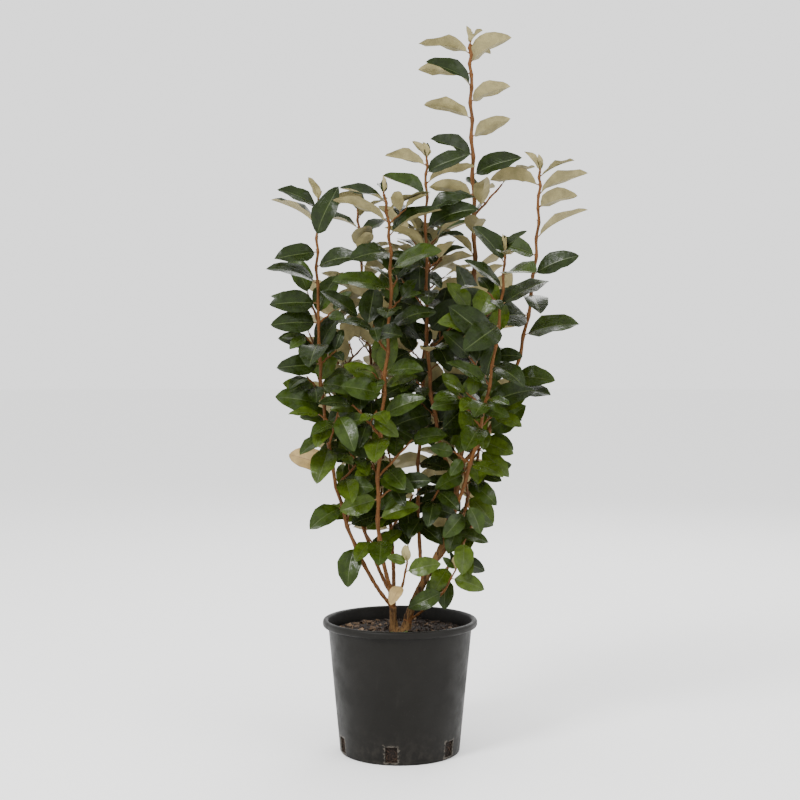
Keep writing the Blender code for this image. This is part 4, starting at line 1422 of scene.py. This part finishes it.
def make_roots(compost):
    """Make the fine roots that show behind the drainage slots."""
    rng = random.Random(SEED + 2)
    strands = []
    for drain in range(DRAIN_COUNT):
        middle = math.radians(DRAIN_FIRST + 360 * drain / DRAIN_COUNT)
        for _ in range(compost.roots):
            start = Vector((rng.uniform(*STRANDS_ACROSS) * DRAIN_WIDTH,
                            DRAIN_SILL + rng.uniform(*STRANDS_UP) * DRAIN_HEIGHT))
            heading = rng.uniform(0, math.tau)
            points = []
            for _ in range(STRAND_KNOTS):
                low, high = STRAND_LEVELS
                height = min(max(start.y, low), high)
                radius = inner_radius(height) - rng.uniform(*STRAND_DEPTHS)
                angle = middle + start.x / radius
                points.append(Vector((radius * math.cos(angle), radius * math.sin(angle), height)))
                heading += rng.gauss(0, STRAND_WANDER)
                start += Vector((math.cos(heading), math.sin(heading))) * STRAND_STEP
            thick = rng.uniform(*STRAND_RADII)
            radii = [thick] * (STRAND_KNOTS - 1) + [thick * STRAND_TIP]
            strands.append(limb("root", *smooth_line(points, radii, 3), 6))
    look = plain_look("Fine roots", compost.root, 0.8)
    finish_piece(join("fine_roots", strands), 80, [look], "compost")


def make_moss(compost):
    """Make the patch of moss at the foot of the trunks."""
    rng = random.Random(SEED + 3)
    deselect()
    bpy.ops.mesh.primitive_ico_sphere_add(subdivisions=2, radius=1)
    edit()
    bpy.ops.transform.vertex_random(offset=MOSS_RAGGED, seed=4)
    bpy.ops.transform.resize(value=(1, 1, MOSS_FLATTENING))
    bpy.ops.object.mode_set(mode="OBJECT")
    tuft = template_of(bpy.context.object)
    copies = []
    for _ in range(MOSS_TUFTS):
        x = rng.uniform(*MOSS_ACROSS)
        y = rng.uniform(*MOSS_DEEP)
        height = COMPOST_TOP + compost_height(x, y) * compost.relief
        matrix = (Matrix.Translation((x, y, height + MOSS_LIFT))
                  @ Matrix.Rotation(rng.uniform(0, math.tau), 4, "Z")
                  @ Matrix.Scale(rng.uniform(*MOSS_SIZES), 4))
        copies.append(placed(tuft, matrix))
    finish_piece(gather("moss", copies), 70, [moss_look(compost)], "compost")


# ---------------------------------------------------------------- wood

LIMB_SAMPLES = 60            # steps along a limb at which its radius is looked up
OLD_RADII = (0.0028, 0.0050)  # bark looks young below the first radius and old above the second
OLD_REACH = 0.25             # length at a leafy stem's foot over which its bark turns young

TRUNK_STEPS = 16             # straight pieces of a trunk, before it is smoothed
TRUNK_SUNK = 0.008           # how deep its foot stands in the compost
TRUNK_FLARE = (0.0016, 0.0005)  # what is added to its radii at the foot
BOUGH_STEPS = 8
BOUGH_OVERLAP = 0.010        # how far a bough runs on inside its leafy stem
BOUGH_END_TAPER = 0.80       # share of its radius that it keeps there
ROOT_SHARE = 0.96            # width of the root crown's flare, as a share of the solid's foot
ROOT_NARROWING = 0.62        # its top's share of that width
ROOT_DEPTH = 0.009           # its height, most of it in the compost
ROOT_RISE = 0.0015           # height of its middle over the compost
SCARS = 10                   # scars of lost twigs on each trunk
SCAR_RADII = (0.0016, 0.0027)
SCAR_PLACES = (0.06, 0.95)
SCAR_SUNK = 0.72             # a scar's middle, as a share of the trunk's radius
BARK_RIDGES = Vector((420, 420, 90))  # ridges between furrows, to the metre
RIDGE_LEVEL = 0.45           # height on a ridge, from 0 to 1, that stays where it is
RIDGE_SHARE = 0.5            # share of the relief that ridges take up on old bark
RIDGE_YOUNG = 0.25           # and what young bark keeps of that
BARK_LUMPS = 170
LUMP_SHARE = 0.45

STEM_PIECES = 6              # straight pieces of a smoothed stem between two nodes
SWELLING_FALL = (1.0, 0.35)  # shares of a node's swelling on it and a piece away
TWIG_STEPS = 5               # spaces between a twig's nodes
TWIG_PIECES = 4
TWIG_ZIGZAG = 0.0006
TWIG_SWELLINGS = (0.6, 1.2)  # least and most, as shares of a stem's

BUD_SHAPE = (0.34, 0.30, 1.0)  # half widths and half length of a bud of unit size
BUD_RISE = 0.75              # height of its middle over its foot
BUD_TAPER_FROM = 0.7         # height from which it tapers and bends
BUD_TAPER = 0.55
BUD_BEND = 0.10
BUD_SIZES = (0.0016, 0.0026)  # half lengths of the buds beside leaves
BUD_SEAT = 0.8               # their distance from a stem's middle, as a share of its radius
BUD_LIFT = 0.0012
BUD_LEAN = 0.55
SHOOT_BUD_SIZES = (0.0018, 0.0030)
SHOOT_BUD_SEAT = 0.0008      # how deep a bud sits in the tip of its shoot
TIP_BUD_SIZES = (0.0024, 0.0042)
TIP_BUD_SEAT = 0.001
TIP_BUD_LEAN = 0.35
TIP_BUDS = 4


def thickness_tree():
    """Return a search tree over all limbs, and each limb point's radius."""
    samples = []
    for line in shrub().lines.values():
        samples += [(line.at(share), line.radius(share)) for share in even(LIMB_SAMPLES)]
    tree = KDTree(len(samples))
    for index, (point, _) in enumerate(samples):
        tree.insert(point, index)
    tree.balance()
    return tree, [radius for _, radius in samples]


def age_of(radius):
    """Return how old wood of this radius looks, from 0 for young to 1 for old."""
    return between(OLD_RADII, radius)


def finish_wood(item, crisp, wood, nodes, ages=None):
    """Finish a piece in bark, with an age from 0 to 1 for each point, or young all over."""
    layer = item.data.attributes.new("age", "FLOAT", "POINT")
    layer.data.foreach_set("value", ages or [0.0] * len(item.data.vertices))
    finish_piece(item, crisp, [bark_look(wood)], "bark", *nodes)


def make_wood(wood):
    """Make the trunks and boughs: limbs grown into one body, with the relief of their bark."""
    rng = random.Random(SEED + 4)
    lines = shrub().lines
    limbs = []
    for trunk in TRUNKS:
        line = lines[trunk.name]
        points = [line.at(share) for share in even(TRUNK_STEPS)]
        points[0] = points[0] - Vector((0, 0, TRUNK_SUNK))
        radii = [line.radius(share) for share in even(TRUNK_STEPS)]
        for index, flare in enumerate(TRUNK_FLARE):
            radii[index] += flare
        limbs.append(limb(trunk.name, *smooth_line(points, radii, 3), 16))
    for stem in STEMS:
        line = lines[stem.name]
        last = line.share_at(stem.foliage)
        ahead = (line.at(last + 0.001) - line.at(last)).normalized()
        points = [line.at(last * share) for share in even(BOUGH_STEPS)]
        points.append(points[-1] + ahead * BOUGH_OVERLAP)
        radii = [line.radius(last * share) for share in even(BOUGH_STEPS)]
        radii.append(radii[-1] * BOUGH_END_TAPER)
        limbs.append(limb("bough", *smooth_line(points, radii, 3), 12))
    # The root crown, and the scars of lost twigs
    deselect()
    bpy.ops.mesh.primitive_cone_add(vertices=28, radius1=ROOT_SHARE, depth=ROOT_DEPTH,
                                    radius2=ROOT_SHARE * ROOT_NARROWING,
                                    location=(0, 0, COMPOST_TOP + ROOT_RISE),
                                    scale=(*ROOT_FOOT, 1))
    limbs.append(bpy.context.object)
    for trunk in TRUNKS:
        line = lines[trunk.name]
        for _ in range(SCARS):
            share = rng.uniform(*SCAR_PLACES)
            side = towards(rng.uniform(0, 360), 20)
            place = line.at(share) + side * line.radius(share) * SCAR_SUNK
            bpy.ops.mesh.primitive_ico_sphere_add(subdivisions=2, location=place,
                                                  radius=rng.uniform(*SCAR_RADII))
            limbs.append(bpy.context.object)
    item = join("wood", limbs)
    remesh = item.modifiers.new("Grow together", "REMESH")
    remesh.mode = "VOXEL"
    remesh.voxel_size = wood.voxel
    apply(item, remesh)
    soften = item.modifiers.new("Soften", "SMOOTH")
    soften.factor = 0.6
    soften.iterations = 4
    apply(item, soften)
    tree, radii = thickness_tree()
    ages = []
    moves = []
    for corner in item.data.vertices:
        _, nearest, _ = tree.find(corner.co)
        age = age_of(radii[nearest])
        ridge = 1 - 2 * abs(noise.noise(corner.co * BARK_RIDGES))
        lumps = noise.noise(corner.co * BARK_LUMPS)
        depth = RIDGE_SHARE * (RIDGE_YOUNG + (1 - RIDGE_YOUNG) * age)
        lift = (ridge - RIDGE_LEVEL) * depth + lumps * LUMP_SHARE
        moves.append(corner.normal * lift * wood.relief)
        ages.append(age)
    for corner, move in zip(item.data.vertices, moves):
        corner.co += move
    finish_wood(item, 75, wood, LIMBS, ages)


def swollen(points, radii, pieces, swelling):
    """Return a smooth line through nodes, thicker beside each of them."""
    line, widths = smooth_line(points, radii, pieces)
    for index in range(len(line)):
        beside = abs((index + pieces // 2) % pieces - pieces // 2)
        if beside < 2 and 0 < index < len(line) - 1:
            widths[index] *= 1 + swelling * SWELLING_FALL[beside]
    return line, widths


def make_stems(wood):
    """Make the leafy stems, zigzagging and thicker at each node."""
    limbs = []
    ages = []
    for stem in STEMS:
        nodes = shrub().nodes[stem.name]
        points = [node.point for node in nodes]
        radii = [node.radius for node in nodes]
        tube = limb("stem", *swollen(points, radii, STEM_PIECES, wood.node_swelling), 10)
        limbs.append(tube)
        ages += [age_of(radii[0]) * max(1 - (corner.co - points[0]).length / OLD_REACH, 0) ** 1.5
                 for corner in tube.data.vertices]
    finish_wood(join("leafy_stems", limbs), 70, wood, MASSES, ages)


def make_twigs(wood):
    """Make the side shoots and the finer twigs on them."""
    rng = random.Random(SEED + 5)
    limbs = []
    for shoot in shrub().shoots:
        wander = (shoot.tip - shoot.base).orthogonal().normalized() * TWIG_ZIGZAG
        points = [shoot.base.lerp(shoot.tip, share) for share in even(TWIG_STEPS)]
        for step in range(1, TWIG_STEPS):
            points[step] += wander * (-1) ** step
        foot, tip = shoot.radii
        radii = [foot + (tip - foot) * share for share in even(TWIG_STEPS)]
        swelling = wood.node_swelling * rng.uniform(*TWIG_SWELLINGS)
        limbs.append(limb("twig", *swollen(points, radii, TWIG_PIECES, swelling), 8))
    finish_wood(join("twigs", limbs), 70, wood, MASSES)


def bud_template():
    """Model a bud: a pointed egg, a little bent, that stands on the origin."""
    deselect()
    bpy.ops.mesh.primitive_uv_sphere_add(segments=8, ring_count=6, radius=1)
    item = bpy.context.object
    edit()
    bpy.ops.transform.resize(value=BUD_SHAPE)
    bpy.ops.transform.translate(value=(0, 0, BUD_RISE))
    bpy.ops.object.mode_set(mode="OBJECT")
    for corner in item.data.vertices:
        rise = max(corner.co.z - BUD_TAPER_FROM, 0)
        corner.co.xy *= 1 - BUD_TAPER * rise
        corner.co.x += BUD_BEND * rise ** 2
    return template_of(item)


def make_buds(wood):
    """Make the buds: one in the axil of each leaf and a cluster at each tip."""
    rng = random.Random(SEED + 6)
    bud = bud_template()
    copies = []

    def add(place, ahead, size):
        turn = frame_to(ahead, ahead.orthogonal())
        spin = Matrix.Rotation(rng.uniform(0, math.tau), 4, "Z")
        copies.append(placed(bud, Matrix.Translation(place) @ turn @ spin @ Matrix.Scale(size, 4)))

    for stem in STEMS:
        nodes = shrub().nodes[stem.name]
        for node in nodes[1:-1]:
            side = towards(node.azimuth, 0)
            ahead = (side * BUD_LEAN + Vector((0, 0, 1))).normalized()
            place = node.point + side * node.radius * BUD_SEAT + Vector((0, 0, BUD_LIFT))
            add(place, ahead, rng.uniform(*BUD_SIZES))
        tip = nodes[-1].point
        for _ in range(TIP_BUDS):
            lean = towards(rng.uniform(0, 360), 0) * TIP_BUD_LEAN
            ahead = (Vector((0, 0, 1)) + lean).normalized()
            add(tip - ahead * TIP_BUD_SEAT, ahead, rng.uniform(*TIP_BUD_SIZES))
    for shoot in shrub().shoots:
        ahead = (shoot.tip - shoot.base).normalized()
        add(shoot.tip - ahead * SHOOT_BUD_SEAT, ahead, rng.uniform(*SHOOT_BUD_SIZES))
    finish_wood(gather("buds", copies), 60, wood, MASSES)


# ---------------------------------------------------------------- leaves

# Rings of a leaf from its stalk's foot: share of its length, half width, depth of its keel
LEAF_RINGS = (
    (0.000, 0.055, 0.011),
    (0.105, 0.055, 0.011),
    (0.150, 0.340, 0.011),
    (0.240, 0.710, 0.010),
    (0.360, 0.950, 0.009),
    (0.480, 1.000, 0.008),
    (0.610, 0.950, 0.007),
    (0.740, 0.790, 0.006),
    (0.860, 0.530, 0.004),
    (0.945, 0.265, 0.003),
)
# Places across the upper side and back across the underside, as shares of the half width
LEAF_ACROSS = (-1.0, -0.52, -0.026, 0.026, 0.52, 1.0)
LEAF_BELOW = (0.52, 0.0, -0.52)
UPPER, RIB, UNDER, STALK = range(4)
BLADE_FOOT = 0.125
# Leaves of this year's growth, between these heights and above, are narrower and curl more:
# what is added to the width, twist, fold and wave of a full leaf
YOUNG_HEIGHTS = (0.64, 0.80)
YOUNG_NARROWING = 0.24
YOUNG_TWIST = 1.2
YOUNG_FOLD = 2.0
YOUNG_CURL = 0.035           # rise and fall of the midrib, as a share of the length
YOUNG_WAVE = 0.35
LEAF_SWAY = 0.035            # how far the midrib bows to one side, as a share of the length
BLADE_WIDTHS = (1.00, 1.22)  # narrowest and broadest blade, as shares of the solid leaf's
RIB_REACH = 0.04             # faces nearer than this to the middle of a flat leaf are its rib
RING_SLACK = 0.001           # corners of a flat leaf this close in height are on one ring
LEAST_WIDTH = 0.02           # half width that a flat leaf is taken to have at its very tip
WAVES = (1.7, 2.7)           # fewest and most waves along one edge
WAVE_HEIGHTS = (0.35, 1.25)  # as shares of the set height
WAVES_FROM = 0.1             # share of a leaf's length at which they start
CAMBER_FROM = 0.1            # share of the half width at the rib that stays flat
RAGGEDNESS = 0.035           # rise and fall of an edge's outline, as a share of the half width
RAGGED_WAVES = (24, 34)      # how fast it goes up and down, in radians a length
# Shares of bright leaves, and of bright and middling ones, below a height and above it
TONES_CHANGE = 0.55
TONES_LOW = (0.34, 0.86)
TONES_HIGH = (0.03, 0.28)
# Radius of the shaded core of the crown at the pot's rim, and its widening upwards
CROWN_CORE = 0.040
CROWN_CORE_FLARE = 0.17
# Withered leaves hang nearest to these places, folded up and shrunk to a share of their length
WITHERED = ((-0.125, -0.03, 0.425), (-0.024, -0.06, 0.248))
WITHERED_SIZES = (1.0, 0.72)
WITHERED_FOLD = 1.8


def leaf_template():
    """Model a flat leaf: a ring drawn out along +Z from its stalk's foot to its tip."""
    deselect()
    bpy.ops.mesh.primitive_circle_add(vertices=9, radius=1, fill_type="NGON")
    item = bpy.context.object
    _, width, keel = LEAF_RINGS[0]
    ring = [(across * width, 0, 0) for across in LEAF_ACROSS]
    ring += [(across * width, -keel * (1 - abs(across)), 0) for across in LEAF_BELOW]
    for corner, place in zip(item.data.vertices, ring):
        corner.co = place
    edit()
    for before, after in zip(LEAF_RINGS, LEAF_RINGS[1:]):
        move = (0, 0, after[0] - before[0])
        bpy.ops.mesh.extrude_region_move(TRANSFORM_OT_translate={"value": move})
        bpy.ops.transform.resize(value=(after[1] / before[1], after[2] / before[2], 1),
                                 center_override=(0, 0, after[0]))
    bpy.ops.mesh.extrude_region_move(
        TRANSFORM_OT_translate={"value": (0, 0, 1 - LEAF_RINGS[-1][0])})
    bpy.ops.mesh.merge(type="CENTER")
    close_up()
    for face in item.data.polygons:
        if face.center.z < BLADE_FOOT:
            face.material_index = STALK
        elif face.normal.y < 0:
            face.material_index = UNDER
        else:
            face.material_index = RIB if abs(face.center.x) < RIB_REACH else UPPER
    return item


def blade_width(share):
    """Return a flat leaf's half width this share of the way along."""
    for before, after in zip(LEAF_RINGS, (*LEAF_RINGS[1:], (1.0, 0.0, 0.0))):
        if share <= after[0]:
            step = (share - before[0]) / (after[0] - before[0])
            return max(before[1] + (after[1] - before[1]) * step, LEAST_WIDTH)
    return LEAST_WIDTH


def split_blade(mesh):
    """Split a leaf's faces so that both its sides crease alike when it is bent."""
    shape = bmesh.new()
    shape.from_mesh(mesh)
    for face in [face for face in shape.faces if face.material_index in (UPPER, UNDER)]:
        if len(face.verts) == 4:
            low, high = sorted({round(corner.co.z, 4) for corner in face.verts})
            outer = max((corner for corner in face.verts if abs(corner.co.z - low) < RING_SLACK),
                        key=lambda corner: abs(corner.co.x))
            inner = min((corner for corner in face.verts if abs(corner.co.z - high) < RING_SLACK),
                        key=lambda corner: abs(corner.co.x))
            bmesh.utils.face_split(face, outer, inner)
    shape.to_mesh(mesh)
    shape.free()


def finished_leaf():
    """Return the leaf's template, its blade laid out flat for the pattern of its veins."""
    item = leaf_template()
    mesh = item.data
    split_blade(mesh)
    layer = mesh.uv_layers.new(name="blade")
    for loop, spot in zip(mesh.loops, layer.data):
        place = mesh.vertices[loop.vertex_index].co
        spot.uv = (0.5 + 0.5 * place.x / blade_width(place.z), place.z)
    return template_of(item)


def lay_leaf(template, relative, leaf, rng, settings):
    """Return a leaf template's points bent, folded, twisted and waved into a leaf's place."""
    across, up, along = template.points.T
    heading, upper = np.array(leaf.heading), np.array(leaf.upper)
    side = np.cross(heading, upper)
    youth = between(YOUNG_HEIGHTS, leaf.base.z)
    half = LEAF_WIDTH * leaf.length / 2 * rng.uniform(*BLADE_WIDTHS) * (1 - YOUNG_NARROWING * youth)
    sway = rng.uniform(-1, 1) * LEAF_SWAY * np.sin(np.pi * along)
    curl = rng.uniform(0, 1) * YOUNG_CURL * youth * np.sin(math.tau * along)
    # The midrib bends along an arc, and the blade twists about it
    turn = leaf.arch * along
    middle = (np.outer(np.sin(turn), heading) - np.outer(1 - np.cos(turn), upper)) / leaf.arch
    normal = np.outer(np.cos(turn), upper) + np.outer(np.sin(turn), heading)
    twist = rng.uniform(-settings.twist, settings.twist) * (1 + YOUNG_TWIST * youth)
    twist = math.radians(twist) * along ** 1.5
    sides = np.outer(np.cos(twist), side) + normal * np.sin(twist)[:, None]
    normal = normal * np.cos(twist)[:, None] - np.outer(np.sin(twist), side)
    # Each edge waves in its own way, and each half blade bulges between the rib and its edge
    from_rib = np.abs(relative)
    on_blade = np.clip((along - WAVES_FROM) / (1 - WAVES_FROM), 0, 1)
    swell = np.sqrt(np.clip(np.sin(np.pi * on_blade), 0, 1))
    lift = np.zeros(len(along))
    for way in (-1, 1):
        waves = rng.uniform(*WAVES)
        phase = rng.uniform(0, math.tau)
        height = settings.wave * rng.uniform(*WAVE_HEIGHTS)
        there = (relative * way > 0) * from_rib
        lift += there * height * (1 + YOUNG_WAVE * youth) * np.sin(math.tau * waves * along + phase)
    lift += settings.camber * (1 - (2 * from_rib - 1) ** 2) * (from_rib > CAMBER_FROM)
    lift *= swell * leaf.length
    rise = np.abs(across) * half * leaf.fold * (1 + YOUNG_FOLD * youth)
    # The outline is a little ragged
    teeth = np.sin(along * rng.uniform(*RAGGED_WAVES) + rng.uniform(0, math.tau))
    ragged = 1 + RAGGEDNESS * teeth * from_rib
    out = sides * (across * half * ragged)[:, None]
    out += sides * (sway * leaf.length)[:, None]
    return (np.array(leaf.base) + middle * leaf.length + out
            + normal * ((up + curl) * leaf.length + rise + lift)[:, None])


def tone_of(base, rng):
    """Deal out a green: more bright greens low down, and painted light and shade across the crown,
    bright greens outermost and deep ones in its core.
    """
    reach = CROWN_CORE + CROWN_CORE_FLARE * (base.z - POT_HEIGHT)
    outwards = math.hypot(base.x - CROWN_MIDDLE[0], base.y - CROWN_MIDDLE[1]) / reach
    draw = rng.random() / min(outwards, 1.0)
    fresh, middle = TONES_LOW if base.z < TONES_CHANGE else TONES_HIGH
    return "fresh" if draw < fresh else "middle" if draw < middle else "deep"


def make_leaves(settings):
    """Make all leaves, each its own shape, joined by the green of their upper sides."""
    rng = random.Random(SEED + 7)
    template = finished_leaf()
    widths = np.array([blade_width(share) for share in template.points[:, 2]])
    relative = template.points[:, 0] / widths
    sprays = shrub().sprays
    withered = [min((leaf for spray in sprays for leaf in spray),
                    key=lambda leaf: (leaf.frame(0.5)[0] - Vector(place)).length)
                for place in WITHERED]
    heaps = {"deep": [], "middle": [], "fresh": [], "dry": []}
    for spray in sprays:
        # A spray's green is partly painted shade inside the crown and painted light at its outside
        tone = tone_of(spray[0].base, rng)
        for leaf in spray:
            chosen = tone
            if leaf in withered:
                chosen = "dry"
                size = WITHERED_SIZES[withered.index(leaf)]
                leaf = leaf._replace(length=leaf.length * size, fold=leaf.fold * WITHERED_FOLD)
            heaps[chosen].append((template, lay_leaf(template, relative, leaf, rng, settings)))
    rib = plain_look("Midrib", settings.rib, 0.4)
    stalk = plain_look("Leaf stalk", settings.stalk, 0.55)
    silver = under_look("Leaf underside", settings.under, settings)
    faded = under_look("Withered leaf", settings.dry, settings)
    for tone, copies in heaps.items():
        item = gather("leaves_" + tone, copies)
        if tone == "dry":
            looks = [faded, stalk, faded, stalk]
        else:
            blade = blade_look("Leaf " + tone, getattr(settings, tone), settings)
            looks = [blade, rib, silver, stalk]
        finish_piece(item, 62, looks, "leaves", *MASSES)


# ---------------------------------------------------------------- the stage

FLOOR_RADIUS = 40
# Soft lights: name, place, width and power
LIGHTS = (
    ("key_light", (-1.6, -1.9, 2.4), 0.8, 100),
    ("fill_light", (2.1, -1.5, 1.6), 1.6, 26),
    ("back_light", (0.8, 2.2, 2.3), 1.6, 40),
)
LIGHTS_AIM = Vector((0.04, 0, 0.55))
SENSOR_WIDTH = 36            # of the camera, in millimetres


def make_stage(stage):
    """Make the floor, the soft lights and the camera."""
    deselect()
    bpy.ops.mesh.primitive_circle_add(vertices=96, radius=FLOOR_RADIUS, fill_type="NGON")
    floor = bpy.context.object
    floor.name = "floor"
    look = Look("Pale floor", 0.9, 0.1)
    look.colour(stage.floor)
    floor.data.materials.append(look.material)
    world = bpy.data.worlds.new("Daylight")
    world.use_nodes = True
    light = world.node_tree.nodes["Background"]
    light.inputs["Color"].default_value = (1.0, 1.0, 1.0, 1)
    light.inputs["Strength"].default_value = stage.daylight
    bpy.context.scene.world = world
    for name, place, size, power in LIGHTS:
        bpy.ops.object.light_add(type="AREA", location=place)
        lamp = bpy.context.object
        lamp.name = name
        lamp.data.size = size
        lamp.data.energy = power
        aim = LIGHTS_AIM - Vector(place)
        lamp.rotation_euler = aim.to_track_quat("-Z", "Y").to_euler()
    bpy.ops.object.camera_add(location=(0, -stage.distance, stage.height),
                              rotation=(math.radians(90 - stage.dip), 0, 0))
    camera = bpy.context.object
    camera.data.lens = stage.lens
    camera.data.sensor_width = SENSOR_WIDTH
    bpy.context.scene.camera = camera


# ---------------------------------------------------------------- operators and panel

class SHRUB_OT_pot(bpy.types.Operator):
    """Build the nursery pot"""

    bl_idname = "shrub.pot"
    bl_label = "Pot"

    def execute(self, context):
        make_pot(context.scene.shrub_pot)
        return {"FINISHED"}


class SHRUB_OT_compost(bpy.types.Operator):
    """Fill the pot with compost, and lay bark chips and moss on it"""

    bl_idname = "shrub.compost"
    bl_label = "Compost"

    def execute(self, context):
        make_compost(context.scene.shrub_compost)
        make_chips(context.scene.shrub_compost)
        make_moss(context.scene.shrub_compost)
        return {"FINISHED"}


class SHRUB_OT_roots(bpy.types.Operator):
    """Lay fine roots behind the drainage slots"""

    bl_idname = "shrub.roots"
    bl_label = "Fine roots"

    def execute(self, context):
        make_roots(context.scene.shrub_compost)
        return {"FINISHED"}


class SHRUB_OT_wood(bpy.types.Operator):
    """Grow the trunks and boughs, with the relief of their bark"""

    bl_idname = "shrub.wood"
    bl_label = "Trunks and boughs"

    def execute(self, context):
        make_wood(context.scene.shrub_wood)
        return {"FINISHED"}


class SHRUB_OT_stems(bpy.types.Operator):
    """Grow the leafy stems, the twigs and the buds"""

    bl_idname = "shrub.stems"
    bl_label = "Stems, twigs and buds"

    def execute(self, context):
        make_stems(context.scene.shrub_wood)
        make_twigs(context.scene.shrub_wood)
        make_buds(context.scene.shrub_wood)
        return {"FINISHED"}


class SHRUB_OT_leaves(bpy.types.Operator):
    """Grow the leaves"""

    bl_idname = "shrub.leaves"
    bl_label = "Leaves"

    def execute(self, context):
        make_leaves(context.scene.shrub_leaves)
        return {"FINISHED"}


class SHRUB_OT_stage(bpy.types.Operator):
    """Set up the floor, the lights and the camera"""

    bl_idname = "shrub.stage"
    bl_label = "Stage"

    def execute(self, context):
        make_stage(context.scene.shrub_stage)
        return {"FINISHED"}


OPERATORS = (SHRUB_OT_stage, SHRUB_OT_pot, SHRUB_OT_compost, SHRUB_OT_roots, SHRUB_OT_wood,
             SHRUB_OT_stems, SHRUB_OT_leaves)


class SHRUB_PT_pieces(bpy.types.Panel):
    """Lists the shrub's pieces and their sizes and colours"""

    bl_label = "Potted elaeagnus"
    bl_space_type = "VIEW_3D"
    bl_region_type = "UI"
    bl_category = "Shrub"

    def draw(self, context):
        for operator in OPERATORS:
            self.layout.operator(operator.bl_idname)
        for name, group in SETTINGS.items():
            box = self.layout.box()
            box.label(text=group.__doc__)
            for setting in group.__annotations__:
                box.prop(getattr(context.scene, name), setting)


def register():
    """Register the settings, the operators and the panel."""
    for group in (*SETTINGS.values(), *OPERATORS, SHRUB_PT_pieces):
        bpy.utils.register_class(group)
    for name, group in SETTINGS.items():
        setattr(bpy.types.Scene, name, PointerProperty(type=group))


def unregister():
    """Take back what register added."""
    for name in SETTINGS:
        delattr(bpy.types.Scene, name)
    for group in reversed((*SETTINGS.values(), *OPERATORS, SHRUB_PT_pieces)):
        bpy.utils.unregister_class(group)


def main():
    """Build every piece."""
    register()
    for operator in OPERATORS:
        family, name = operator.bl_idname.split(".")
        getattr(getattr(bpy.ops, family), name)()


if __name__ == "__main__":
    main()
